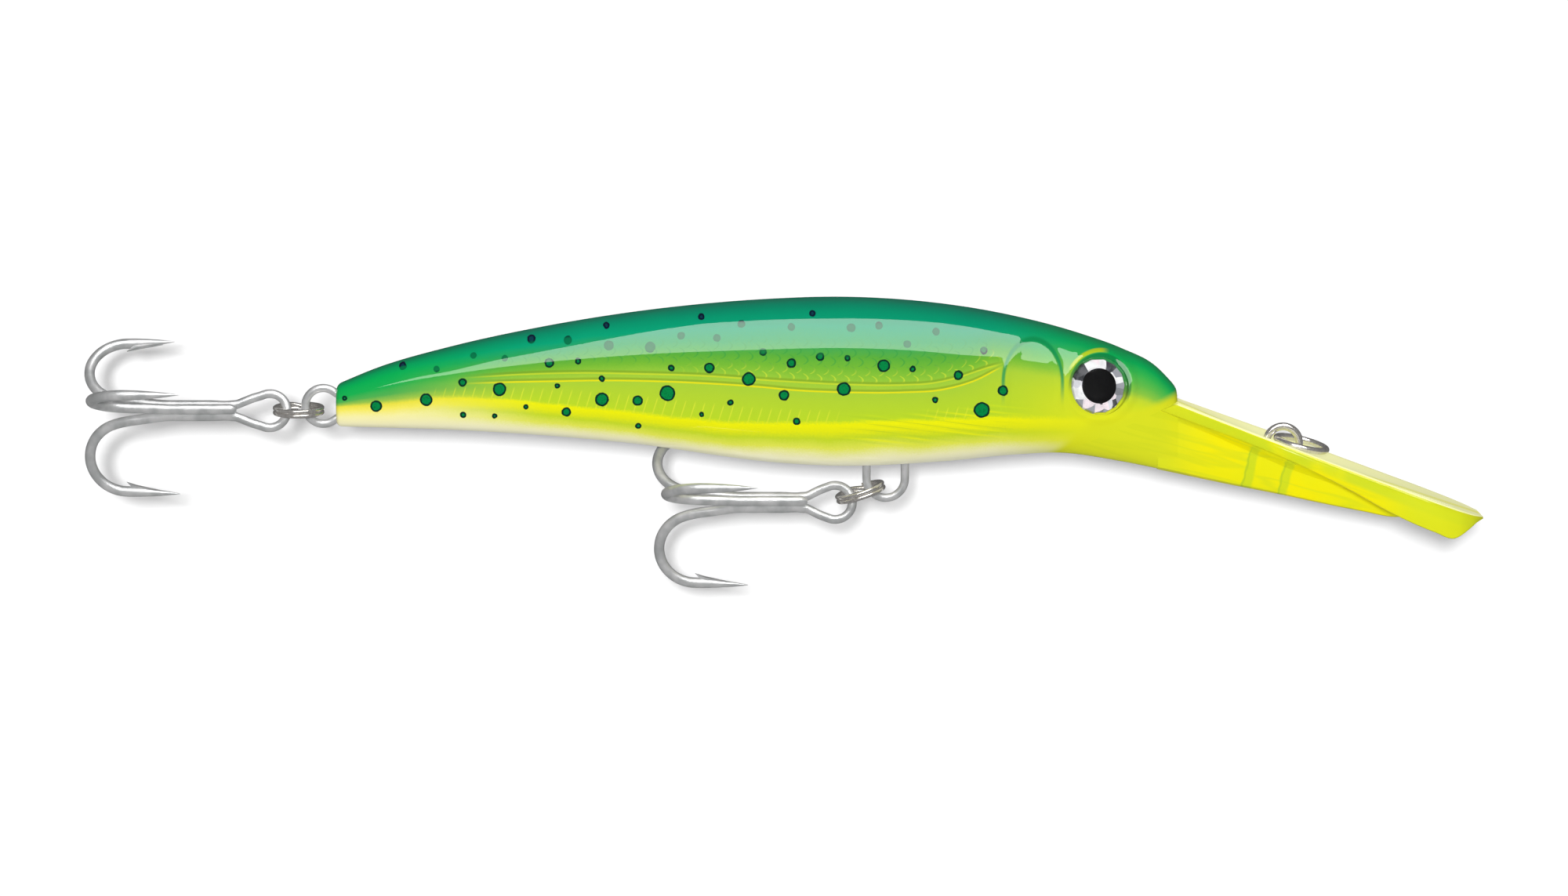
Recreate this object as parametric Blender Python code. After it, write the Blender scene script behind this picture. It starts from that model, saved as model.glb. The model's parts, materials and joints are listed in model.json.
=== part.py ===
"""A deep-diving trolling crankbait, built piece by piece.

The lure swims towards +X with its back up (+Z). The origin is the centre of the line tie's arch.
Lengths below are in millimetres, and MM turns them into Blender's metres.
Body stations are measured forward from the tail face.
"""

import math

import bmesh
import bpy
import numpy as np
from mathutils import Vector

MM = 0.001

# Body: 160 mm long, two hollow halves that meet on the middle plane.
BODY_LENGTH = 160.0
TAIL_X = -180.3
HALF_GAP = 0.15  # each half stops this far from the middle plane
WALL = 1.8
SECTION_POWER = 2.25  # 2 is an ellipse, and more is squarer
BACK = [(0, 11.2), (7.5, 14.3), (22, 18.5), (37, 21.8), (52, 24.4), (67, 26.3), (82, 27.5), (97, 27.9),
        (112, 27.0), (127, 24.7), (142, 20.8), (149.5, 18.1), (156, 14.7), (160, 10.6)]
BELLY = [(0, 3.2), (25, 2.4), (55, 0.1), (85, -3.8), (94, -4.3), (115, -3.5), (130, -2.1), (137, -1.8),
         (149.5, -3.5), (157, -5.0), (160, -5.6)]
HALF_WIDTH = [(0, 3.4), (10, 4.4), (30, 6.4), (60, 8.8), (90, 10.3), (115, 10.6), (130, 10.1), (140, 9.0),
              (150, 7.3), (157, 5.6), (160, 4.7)]
CHAMBERS = [(6, 42), (46, 64), (68, 98), (101, 113), (117, 134)]  # hollow stretches between the partitions
LINER_SPAN = (16, 131)
LINER_ANGLE = 48.0  # the scale liner covers this much of the section above and below its middle

# Lip: one clear moulding. It fills the chin of the head and reaches forward as a spade with a keel.
NOSE = (-20.3, 8.2)  # where the blade's top meets the nose
CHIN = (-43.3, -1.8)
LIP_GAP = 0.3
BLADE_SLOPE = -0.374
BLADE_THICK = 2.6
BLADE_START = -24.0
BLADE_TIP = 37.7
BLADE_HALF_WIDTH = [(-24, 6.2), (-20, 7.2), (-12, 9.0), (-3, 11.0), (8, 12.2), (20, 12.8), (31, 12.5),
                    (34, 11.3), (36.3, 9.0), (37.7, 6.0)]
BLADE_DISH = [(-24, 0.0), (-14, 0.6), (-4, 1.4), (8, 1.4), (22, 0.7), (37.7, 0.0)]
SKIRT_DEPTH = [(-24, 2.7), (2, 2.8), (12, 4.0), (20, 5.4), (28, 5.9), (31.6, 5.8), (34.5, 3.2), (36.2, 1.0),
               (37.7, 0.45)]
SKIRT_THICK = 2.2
KEEL_BOTTOM = [(-24, -5.0), (-11.4, -7.7), (0.6, -10.1), (6.6, -11.4), (15.6, -13.2), (21, -14.2),
               (25, -14.0), (30, -13.0), (37.7, -14.5)]
KEEL_HALF_WIDTH = [(-24, 4.2), (-12, 3.6), (0, 2.7), (15, 1.8), (26, 1.4), (34.5, 1.0), (37.7, 0.4)]
TANG_HALF_WIDTH = 2.4

# Wire fittings.
TIE_WIRE = 0.75  # wire radii
TIE_ARCH = 3.15
TIE_LEG_TILT = math.radians(20.5)
TIE_LEG_LENGTH = 8.0
TAIL_LOOP_CENTRE = (-182.9, 7.07)
TAIL_LOOP = 3.42
HANGER_WIRE = 0.78
BELLY_ARC_CENTRE = (-75.7, -6.9)
BELLY_ARC = 3.65
BORE_PLAY = 0.3

# Rings. A strand is the part of a ring that runs through the loop that holds it.
TOW_RING = 4.85
TOW_RING_WIRE = 0.65
TOW_RING_TILT = math.radians(-13.3)
TOW_STRAND = (-1.2, 0.95)
SPLIT_RING = 4.25
SPLIT_RING_HALF_RADIAL = 0.65
SPLIT_RING_HALF_AXIAL = 0.85
TAIL_STRAND = (-183.35, 6.3)
TAIL_RING_TILT = 0.0
BELLY_STRAND = (-76.5, -8.1)
BELLY_RING_TILT = math.radians(18.0)

# Trebles: a double hook bent from one wire, and a single hook brazed into its groove.
HOOK_WIRE = 1.0
HOOK_EYE_WIRE = 0.85
LEG_OFFSET = 1.33  # from the treble's middle line to each shank's
EYE_ROUND = 3.3
EYE_REACH = {"tail": 10.45, "belly": 9.55}  # from the throat to the middle of the wire at the eye's end
BEND_RADIUS = 7.0
BEND_HEIGHT = 9.6
POINT_RISE = 17.1
# Each prong's angle, and the distances back from the throat to the middle of its bend and to its point.
UPPER_PRONG = (44.7, 20.8, 11.9)
LOWER_PRONG = (-75.3, 20.4, 10.4)
SIDE_PRONG = (164.7, 18.8, 8.4)
TAIL_THROAT = (-200.3, 6.25)
BELLY_THROAT = (-91.6, -11.35)

# Lure's eye.
EYE_CENTRE = (-35.3, 11.7)
EYE_YAW = math.radians(14.0)
EYE_PITCH = math.radians(8.0)
SOCKET = 5.65
SOCKET_DEPTH = 1.3
FOIL = 5.3
PUPIL = 3.3
LENS = 5.45

# Ballast and rattles.
WEIGHT_SPAN = (72.0, 95.0)
WEIGHT_HALF_WIDTH = 4.0
WEIGHT_HEIGHT = 6.0
BALL = 2.4
TAIL_BALL = (55.0, 2.85)  # station, and height above the chamber floor
HEAD_BALL = (125.0, 2.85)


def curve_value(points, x):
    """Height of a smooth curve through hand-set points (a cubic with Catmull-Rom slopes)."""
    xs = np.array([p[0] for p in points], float)
    ys = np.array([p[1] for p in points], float)
    slopes = np.gradient(ys, xs)
    x = float(np.clip(x, xs[0], xs[-1]))
    i = int(np.clip(np.searchsorted(xs, x) - 1, 0, len(xs) - 2))
    step = xs[i + 1] - xs[i]
    t = (x - xs[i]) / step
    rise = slopes[i] * step
    fall = slopes[i + 1] * step
    return ((2 * t**3 - 3 * t**2 + 1) * ys[i] + (t**3 - 2 * t**2 + t) * rise
            + (3 * t**2 - 2 * t**3) * ys[i + 1] + (t**3 - t**2) * fall)


def make_material(name, colour, roughness, metallic=0.0):
    """A plain Principled material, shared by pieces of one finish."""
    material = bpy.data.materials.get(name) or bpy.data.materials.new(name)
    material.use_nodes = True
    shader = material.node_tree.nodes["Principled BSDF"]
    shader.inputs["Base Color"].default_value = (*colour, 1.0)
    shader.inputs["Roughness"].default_value = roughness
    shader.inputs["Metallic"].default_value = metallic
    material.diffuse_color = (*colour, 1.0)
    return material


def make_object(name, vertices, faces, material=None):
    """An object from millimetre points. Its faces are turned to point out."""
    mesh = bpy.data.meshes.new(name)
    mesh.from_pydata([tuple(float(c) * MM for c in v) for v in vertices], [], faces)
    work = bmesh.new()
    work.from_mesh(mesh)
    bmesh.ops.recalc_face_normals(work, faces=work.faces)
    work.to_mesh(mesh)
    work.free()
    obj = bpy.data.objects.new(name, mesh)
    bpy.context.scene.collection.objects.link(obj)
    if material:
        mesh.materials.append(material)
        mesh.shade_smooth()
        mesh.set_sharp_from_angle(angle=math.radians(40))
    return obj


def loft(name, rings, material=None):
    """A closed solid through rings that hold the same number of points."""
    size = len(rings[0])
    vertices = [point for ring in rings for point in ring]
    faces = [tuple(range(size))]
    for r in range(len(rings) - 1):
        for k in range(size):
            after = (k + 1) % size
            faces.append((r * size + k, r * size + after, (r + 1) * size + after, (r + 1) * size + k))
    last = (len(rings) - 1) * size
    faces.append(tuple(range(last + size - 1, last - 1, -1)))
    return make_object(name, vertices, faces, material)


def tube(name, points, radii, sides, material=None):
    """A round wire along points, with a radius at each point and flat ends."""
    points = [Vector([float(c) for c in p]) for p in points]
    directions = []
    for i in range(len(points)):
        before = points[max(i - 1, 0)]
        after = points[min(i + 1, len(points) - 1)]
        directions.append((after - before).normalized())
    side = directions[0].orthogonal().normalized()
    rings = []
    for point, direction, radius in zip(points, directions, radii):
        side = (side - direction * side.dot(direction)).normalized()
        up = direction.cross(side)
        ring = []
        for k in range(sides):
            angle = 2 * math.pi * k / sides
            ring.append(point + (side * math.cos(angle) + up * math.sin(angle)) * radius)
        rings.append(ring)
    return loft(name, rings, material)


def ring_solid(name, profile, steps, material=None):
    """A closed ring about its own Z axis from a profile of (radius, height) points."""
    size = len(profile)
    vertices = []
    for i in range(steps):
        angle = 2 * math.pi * i / steps
        vertices += [(r * math.cos(angle), r * math.sin(angle), h) for r, h in profile]
    faces = []
    for i in range(steps):
        after = (i + 1) % steps
        for k in range(size):
            up = (k + 1) % size
            faces.append((i * size + k, i * size + up, after * size + up, after * size + k))
    return make_object(name, vertices, faces, material)


def turned(name, profile, steps, material=None):
    """A solid turned about its own Z axis. The profile starts and ends on the axis."""
    inner = profile[1:-1]
    size = len(inner)
    vertices = [(0.0, 0.0, profile[0][1]), (0.0, 0.0, profile[-1][1])]
    for i in range(steps):
        angle = 2 * math.pi * i / steps
        vertices += [(r * math.cos(angle), r * math.sin(angle), h) for r, h in inner]
    faces = []
    for i in range(steps):
        here = 2 + i * size
        after = 2 + ((i + 1) % steps) * size
        faces.append((0, here, after))
        faces.append((1, after + size - 1, here + size - 1))
        for k in range(size - 1):
            faces.append((here + k, here + k + 1, after + k + 1, after + k))
    return make_object(name, vertices, faces, material)


def move_points(obj, change):
    """Moves an object's mesh points with a function of millimetre coordinates."""
    for vertex in obj.data.vertices:
        moved = change(np.array(vertex.co) / MM)
        vertex.co = Vector([float(c) * MM for c in moved])
    obj.data.update()


def turn_about_y(obj, angle, x, z):
    """Tips a mesh up by the angle at its +X side, then moves its middle to (x, 0, z)."""
    c = math.cos(angle)
    s = math.sin(angle)
    move_points(obj, lambda p: (x + p[0] * c - p[2] * s, p[1], z + p[0] * s + p[2] * c))


def set_origin(obj, point):
    """Moves the object's origin to a millimetre point and leaves its shape where it is."""
    offset = np.array(point, float)
    move_points(obj, lambda p: p - offset)
    obj.location = Vector([float(c) * MM for c in offset])


def make_empty(name, point, parent=None):
    """An empty on a joint's axis, at a millimetre point in the world."""
    empty = bpy.data.objects.new(name, None)
    empty.empty_display_size = 0.005
    bpy.context.scene.collection.objects.link(empty)
    place = Vector([float(c) * MM for c in point])
    if parent:
        empty.parent = parent
        place -= parent.matrix_world.translation
    empty.location = place
    bpy.context.view_layer.update()
    return empty


def hang_on(obj, parent):
    """Parents an object to an unrotated one and keeps it where it is."""
    obj.location -= parent.matrix_world.translation
    obj.parent = parent


def boolean(obj, other, operation):
    """Applies a Boolean to the object and deletes the other shape."""
    modifier = obj.modifiers.new(operation, "BOOLEAN")
    modifier.operation = operation
    modifier.solver = "EXACT"
    modifier.object = other
    bpy.context.view_layer.update()
    graph = bpy.context.evaluated_depsgraph_get()
    result = bpy.data.meshes.new_from_object(obj.evaluated_get(graph))
    obj.modifiers.remove(modifier)
    old = obj.data
    obj.data = result
    bpy.data.meshes.remove(old)
    bpy.data.objects.remove(other)


def finish_surface(obj):
    """Smooth shading with sharp edges, after the Booleans."""
    obj.data.shade_smooth()
    obj.data.set_sharp_from_angle(angle=math.radians(40))


def body_section(station, inset=0.0):
    """Middle height, half height and half width of the body at a station."""
    top = curve_value(BACK, station) - inset
    bottom = curve_value(BELLY, station) + inset
    width = curve_value(HALF_WIDTH, station) - inset
    return (top + bottom) / 2, (top - bottom) / 2, width


def flank_point(station, angle, side, inset=0.0):
    """A point of the body's flank. The angle goes from -90 at the belly to 90 at the back."""
    middle, half_height, half_width = body_section(station, inset)
    power = 2 / SECTION_POWER
    c = math.cos(math.radians(angle))
    s = math.sin(math.radians(angle))
    y = half_width * abs(c) ** power
    z = middle + half_height * math.copysign(abs(s) ** power, s)
    return (TAIL_X + station, side * y, z)


def flank_y(x, z):
    """Half width of the body at a place on its flank."""
    middle, half_height, half_width = body_section(x - TAIL_X)
    high = min(abs(z - middle) / half_height, 1.0)
    return half_width * (1 - high**SECTION_POWER) ** (1 / SECTION_POWER)


def half_ring(station, side, inset, middle_y, steps):
    """Half of a body section, closed along the middle plane at side * middle_y."""
    ring = []
    for angle in np.linspace(90, -90, steps):
        x, y, z = flank_point(station, angle, side, inset)
        ring.append((x, side * max(side * y, middle_y), z))
    # The two ends sit exactly on the middle plane.
    ring[0] = (ring[0][0], side * middle_y, ring[0][2])
    ring[-1] = (ring[-1][0], side * middle_y, ring[-1][2])
    return ring


def body_half(name, side, material=None):
    """The solid half of the whole body outline, chin included."""
    stations = [0.0, 1.0, 3.0] + list(np.arange(7.0, 150.0, 6.5)) + [153.0, 156.0, 158.5, BODY_LENGTH]
    rings = []
    for station in stations:
        # The tail and nose faces have a small rounded edge.
        inset = 0.9 if station in (0.0, BODY_LENGTH) else 0.0
        rings.append(half_ring(station, side, inset, HALF_GAP, 15))
    return loft(name, rings, material)


def chamber(side, start, end):
    """Cutter for one hollow stretch of a half. It reaches past the middle plane."""
    rings = []
    for station in np.linspace(start, end, max(3, round((end - start) / 7) + 1)):
        ring = half_ring(station, side, WALL, 0.0, 11)
        ring[0] = (ring[0][0], -side * 1.0, ring[0][2])
        ring[-1] = (ring[-1][0], -side * 1.0, ring[-1][2])
        rings.append(ring)
    return loft("chamber", rings)


def liner(name, side, outer, inner, spare, material=None):
    """A thin curved sheet along the flank, between two insets of the body outline."""
    start, end = LINER_SPAN
    reach = LINER_ANGLE + spare * 4
    rings = []
    for station in np.linspace(start - spare, end + spare, 14):
        ring = [flank_point(station, a, side, outer) for a in np.linspace(reach, -reach, 7)]
        ring += [flank_point(station, a, side, inner) for a in np.linspace(-reach, reach, 7)]
        rings.append(ring)
    return loft(name, rings, material)


def joint_line(x, gap):
    """Height of the slanted joint between the head and the lip, raised by a gap."""
    slope = (NOSE[1] - CHIN[1]) / (NOSE[0] - CHIN[0])
    return CHIN[1] + slope * (x - CHIN[0]) + gap * math.hypot(1, slope)


def side_cutter(name, outline):
    """A cutter from an outline in the middle plane, wider than the lure."""
    return loft(name, [[(x, y, z) for x, z in outline] for y in (-20.0, 20.0)])


def chin_wedge(name, gap):
    """Everything below and ahead of the joint between the head and the lip."""
    back = CHIN[0] - 6
    front = NOSE[0] + 10
    return side_cutter(name, [(back, joint_line(back, gap)), (front, joint_line(front, gap)),
                              (front, -20), (back, -20)])


def head_zone(name):
    """Everything the head takes up above that joint, as far as the nose."""
    back = CHIN[0] - 6
    front = NOSE[0] + LIP_GAP
    return side_cutter(name, [(back, joint_line(back, 0.0)), (front, joint_line(front, 0.0)),
                              (front, 30), (back, 30)])


def tang_outline(play):
    """Side outline of the lip's tang, grown by the play on every side."""
    return [(-46 - play, 1.4 - play), (-46 - play, 6.4 + play), (-29, 9.6 + play), (-24.5, 9.6 + play),
            (-24.5, 3.0), (-36, 0.2), (-40.0, -1.0 - play)]


def tang(name, play):
    """The tongue of the lip that plugs in between the two halves of the head."""
    half = TANG_HALF_WIDTH + play
    return loft(name, [[(x, y, z) for x, z in tang_outline(play)] for y in (-half, half)])


def tie_points():
    """Middle line of the line tie's wire: leg, arch, leg, and the run back into the head."""
    down = np.array([-math.sin(TIE_LEG_TILT), -math.cos(TIE_LEG_TILT)])
    along = np.array([math.cos(TIE_LEG_TILT), -math.sin(TIE_LEG_TILT)])
    points = [along * TIE_ARCH + down * t for t in (TIE_LEG_LENGTH, TIE_LEG_LENGTH / 2)]
    for angle in np.linspace(0, math.pi, 13):
        points.append((along * math.cos(angle) - down * math.sin(angle)) * TIE_ARCH)
    corner = -along * TIE_ARCH + down * TIE_LEG_LENGTH
    points += [-along * TIE_ARCH + down * (TIE_LEG_LENGTH / 2), corner - down * 2.0]
    points += [corner + np.array([-0.55, 0.35]), corner + np.array([-2.4, 1.3])]
    points += [np.array([-27.0, 2.6]), np.array([-44.0, 3.9])]
    return [(p[0], 0.0, p[1]) for p in points]


def hanger_points():
    """Middle line of the hanger wire: the tail loop, the run forward, and the belly loop."""
    cx, cz = TAIL_LOOP_CENTRE
    points = [(-170.5, cz - 1.2), (-175.5, cz - 1.4)]
    for angle in np.radians(np.linspace(-45, -315, 19)):
        points.append((cx + TAIL_LOOP * math.cos(angle), cz + TAIL_LOOP * math.sin(angle)))
    points += [(-175.8, cz + 1.5), (-170, 9.4), (-150, 12.0), (-115, 13.4), (-88, 13.2)]
    bx, bz = BELLY_ARC_CENTRE
    corner_x = bx - BELLY_ARC
    for angle in np.radians([75, 50, 25, 0]):
        points.append((corner_x - 5 + 5 * math.cos(angle), 8.2 + 5 * math.sin(angle)))
    points.append((corner_x, bz + 6.0))
    for angle in np.radians(np.linspace(180, 360, 13)):
        points.append((bx + BELLY_ARC * math.cos(angle), bz + BELLY_ARC * math.sin(angle)))
    points += [(bx + BELLY_ARC, bz + 6.0), (bx + BELLY_ARC, 6.0)]
    points += [(bx + BELLY_ARC - 0.9, 7.6), (bx + BELLY_ARC - 3.0, 8.2)]
    return [(x, 0.0, z) for x, z in points]


def wire(name, points, radius, material=None, sides=10):
    """A round wire of one radius."""
    return tube(name, points, [radius] * len(points), sides, material)


def eye_axes(side):
    """Middle of an eye on the flank, and its outward direction."""
    x, z = EYE_CENTRE
    out = np.array([math.sin(EYE_YAW) * math.cos(EYE_PITCH), side * math.cos(EYE_YAW) * math.cos(EYE_PITCH),
                    math.sin(EYE_PITCH)])
    return np.array([x, side * flank_y(x, z), z]), out


def stand_on_eye(obj, side, depth):
    """Turns a piece whose axis is +Z outward, and sets it at a depth below the flank."""
    centre, out = eye_axes(side)
    across = np.cross([0, 0, 1], out)
    across /= np.linalg.norm(across)
    up = np.cross(out, across)
    base = centre - out * depth
    move_points(obj, lambda p: base + across * p[0] + up * p[1] + out * p[2])


def shell_half(name, side, material):
    """One hollow half of the body, with its partitions, eye socket, wire slots and tang pocket."""
    half = body_half(name, side, material)
    for start, end in CHAMBERS:
        boolean(half, chamber(side, start, end), "DIFFERENCE")
    boolean(half, liner("liner_slot", side, WALL, WALL + 1.0, 0.6), "DIFFERENCE")
    boolean(half, chin_wedge("chin_cut", LIP_GAP), "DIFFERENCE")
    socket = turned("socket", [(0, -0.2), (SOCKET, -0.2), (SOCKET, 6.0), (0, 6.0)], 32)
    stand_on_eye(socket, side, SOCKET_DEPTH)
    boolean(half, socket, "DIFFERENCE")
    for points, radius in ((hanger_points(), HANGER_WIRE), (tie_points(), TIE_WIRE)):
        boolean(half, wire("wire_slot", points, radius + BORE_PLAY, sides=8), "DIFFERENCE")
    boolean(half, tang("tang_slot", BORE_PLAY), "DIFFERENCE")
    finish_surface(half)
    return half


def blade_ring(x):
    """One section of the lip ahead of the head: dished blade, side skirts and keel."""
    top = NOSE[1] + BLADE_SLOPE * (x - NOSE[0])
    width = curve_value(BLADE_HALF_WIDTH, x)
    dish = curve_value(BLADE_DISH, x)
    depth = curve_value(SKIRT_DEPTH, x)
    skirt = top - depth
    under = max(top - BLADE_THICK, skirt + 0.05)
    centre_under = under - dish
    keel_width = curve_value(KEEL_HALF_WIDTH, x)
    keel = min(curve_value(KEEL_BOTTOM, x), centre_under - 0.5 * keel_width)
    room = width - keel_width
    half = [
        (width * 0.45, top - dish * 0.75),
        (width - 0.9, top - 0.05),
        (width, top - min(0.7, 0.4 * depth)),
        (width, skirt + min(0.4, 0.3 * depth)),
        (width - min(0.5, 0.3 * room), skirt),
        (width - min(SKIRT_THICK * 0.75, 0.5 * room), skirt),
        (width - min(SKIRT_THICK, 0.65 * room), under),
        (keel_width + min(1.0, 0.2 * room), centre_under),
        (keel_width, keel + 0.45 * keel_width),
        (keel_width * 0.6, keel + 0.08 * keel_width),
    ]
    ring = [(x, 0.0, top - dish)]
    ring += [(x, y, z) for y, z in half]
    ring.append((x, 0.0, keel))
    ring += [(x, -y, z) for y, z in reversed(half)]
    return ring


def diving_lip(material):
    """The lip: the chin block that fills the head's outline, the blade and the tang, with the wire's bore."""
    rings = []
    for station in [128.0, 134.0, 139.0, 144.0, 148.5, 153.0, 156.0, 158.5, BODY_LENGTH]:
        right = half_ring(station, -1.0, 0.0, 0.0, 15)
        left = half_ring(station, 1.0, 0.0, 0.0, 15)
        rings.append(right + left[-2:0:-1])
    lip = loft("diving_lip", rings, material)
    boolean(lip, chin_wedge("chin_keep", 0.0), "INTERSECT")
    stations = list(np.arange(BLADE_START, 31.0, 3.2)) + [31.3, 32.8, 34.2, 35.3, 36.3, 37.1, BLADE_TIP]
    blade = loft("blade", [blade_ring(x) for x in stations])
    boolean(blade, head_zone("head_zone"), "DIFFERENCE")
    boolean(lip, blade, "UNION")
    boolean(lip, tang("tang", 0.0), "UNION")
    boolean(lip, wire("tie_bore", tie_points(), TIE_WIRE + BORE_PLAY * 0.8, sides=8), "DIFFERENCE")
    finish_surface(lip)
    return lip


def split_ring(name, strand, tilt, material):
    """A two-coil ring, held at its front strand. The groove between its coils runs round the outside."""
    a = SPLIT_RING_HALF_RADIAL
    h = SPLIT_RING_HALF_AXIAL
    r = SPLIT_RING
    profile = [(r - a, -h + 0.3), (r - a + 0.3, -h), (r + a - 0.3, -h), (r + a, -h + 0.35), (r + a, -0.25),
               (r + a - 0.3, 0.0), (r + a, 0.25), (r + a, h - 0.35), (r + a - 0.3, h), (r - a + 0.3, h),
               (r - a, h - 0.3)]
    ring = ring_solid(name, profile, 28, material)
    centre = ring_centre(strand, tilt)
    turn_about_y(ring, tilt, centre[0], centre[1])
    return ring


def ring_centre(strand, tilt):
    """Centre of a ring that trails behind its front strand."""
    return (strand[0] - SPLIT_RING * math.cos(tilt), strand[1] - SPLIT_RING * math.sin(tilt))


def tow_ring(material):
    """The welded ring on the line tie. It lies forward on the lip."""
    steps = 8
    profile = [(TOW_RING + TOW_RING_WIRE * math.cos(2 * math.pi * k / steps),
                TOW_RING_WIRE * math.sin(2 * math.pi * k / steps)) for k in range(steps)]
    ring = ring_solid("tow_ring", profile, 28, material)
    x = TOW_STRAND[0] + TOW_RING * math.cos(TOW_RING_TILT)
    z = TOW_STRAND[1] + TOW_RING * math.sin(TOW_RING_TILT)
    turn_about_y(ring, TOW_RING_TILT, x, z)
    return ring


def prong_line(prong):
    """Middle line of one shank and bend, from the throat to the point, and its radii."""
    angle, back, point = prong
    flat = [(0.0, LEG_OFFSET), (7.0, LEG_OFFSET), (13.0, LEG_OFFSET + 0.05), (back - 4.0, LEG_OFFSET + 0.5)]
    for turn in np.radians(np.linspace(-72, 90, 11)):
        flat.append((back + BEND_RADIUS * math.cos(turn), BEND_HEIGHT + BEND_RADIUS * math.sin(turn)))
    radii = [HOOK_WIRE] * len(flat)
    crest = BEND_HEIGHT + BEND_RADIUS
    for share, radius in ((0.35, 0.87), (0.7, 0.52), (1.0, 0.12)):
        flat.append((back + (point - back) * share, crest + (POINT_RISE - crest) * share))
        radii.append(radius)
    c = math.cos(math.radians(angle))
    s = math.sin(math.radians(angle))
    return [(b, r * c, r * s) for b, r in flat], radii


def eye_line(upper, lower, reach):
    """Middle line of the eye between two shanks, which meet it at the throat."""
    top = np.array(prong_line(upper)[0][0][1:])
    low = np.array(prong_line(lower)[0][0][1:])
    middle = (top + low) / 2
    climb = (top - low) / np.linalg.norm(top - low)
    start = np.linalg.norm(top - low) / 2
    centre = reach - EYE_ROUND
    flat = []
    for turn in np.radians(np.linspace(115, -115, 15)):
        flat.append((centre + EYE_ROUND * math.cos(turn), EYE_ROUND * math.sin(turn)))
    first, height = flat[0]
    spread = [(1.0, 0.12), (0.25 * first + 0.75, 0.36), (0.6 * first + 0.4, 0.7)]
    opening = [(ahead, start + (height - start) * share) for ahead, share in spread]
    flat = opening + flat + [(ahead, -h) for ahead, h in reversed(opening)]
    return [(-ahead, *(middle + climb * height)) for ahead, height in flat]


def treble(label, throat, material):
    """Both hooks of a treble whose shanks run back from the throat. Returns the two objects."""
    upper, upper_radii = prong_line(UPPER_PRONG)
    lower, lower_radii = prong_line(LOWER_PRONG)
    eye = eye_line(UPPER_PRONG, LOWER_PRONG, EYE_REACH[label])
    points = upper[::-1] + eye + lower
    radii = upper_radii[::-1] + [HOOK_EYE_WIRE] * len(eye) + lower_radii
    single, single_radii = prong_line(SIDE_PRONG)
    single[0] = (0.3, single[0][1], single[0][2])
    pair = []
    for name, line, widths in (("double", points, radii), ("single", single, single_radii)):
        placed = [(throat[0] - back, y, throat[1] + z) for back, y, z in line]
        pair.append(tube(f"{label}_hook_{name}", placed, widths, 8, material))
    return pair


def lure_eye(label, side, foil_material, pupil_material, lens_material):
    """Foil, pupil and domed lens, stacked in the socket."""
    foil = turned(f"eye_foil_{label}", [(0, 0), (FOIL, 0), (FOIL, 0.3), (0, 0.3)], 28, foil_material)
    disc = [(0, 0.45), (PUPIL, 0.45), (PUPIL, 0.8), (0, 0.8)]
    pupil = turned(f"eye_pupil_{label}", disc, 28, pupil_material)
    dome = []
    for angle in np.radians(np.linspace(90, 12, 6)):
        dome.append((LENS * math.cos(angle) / math.cos(math.radians(12)), 0.55 + 1.75 * math.sin(angle)))
    dome[0] = (0.0, dome[0][1])
    profile = dome + [(LENS, 0.45), (PUPIL + 0.3, 0.45), (PUPIL + 0.3, 0.95), (0, 0.95)]
    lens = turned(f"eye_lens_{label}", profile, 28, lens_material)
    for piece in (foil, pupil, lens):
        stand_on_eye(piece, side, SOCKET_DEPTH)


def belly_weight(material):
    """A cast slug that lies on the floor of the middle chamber."""
    rings = []
    start, end = WEIGHT_SPAN
    for station in np.linspace(start, end, 9):
        share = (station - start) / (end - start)
        size = 0.35 + 0.65 * math.sin(math.pi * min(max(share, 0.04), 0.96)) ** 0.35
        floor = curve_value(BELLY, station) + WALL + 0.6
        half = WEIGHT_HALF_WIDTH * size
        tall = WEIGHT_HEIGHT * size
        outline = [(0.3, 0.0), (0.75, 0.28), (1.0, 0.55), (0.9, 0.85), (0.5, 1.0)]
        right = [(TAIL_X + station, half * y, floor + tall * z) for y, z in outline]
        left = [(x, -y, z) for x, y, z in reversed(right)]
        rings.append(right + left)
    return loft("belly_weight", rings, material)


def rattle_ball(name, place, material):
    """A steel ball that slides in its chamber."""
    station, height = place
    centre = (TAIL_X + station, 0.0, curve_value(BELLY, station) + WALL + height)
    profile = [(BALL * math.sin(a), BALL * math.cos(a)) for a in np.linspace(0, math.pi, 9)]
    profile[0] = (0.0, BALL)
    profile[-1] = (0.0, -BALL)
    ball = turned(name, profile, 16, material)
    ball.location = Vector([c * MM for c in centre])
    return ball


def clear_scene():
    for obj in list(bpy.data.objects):
        bpy.data.objects.remove(obj)


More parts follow.
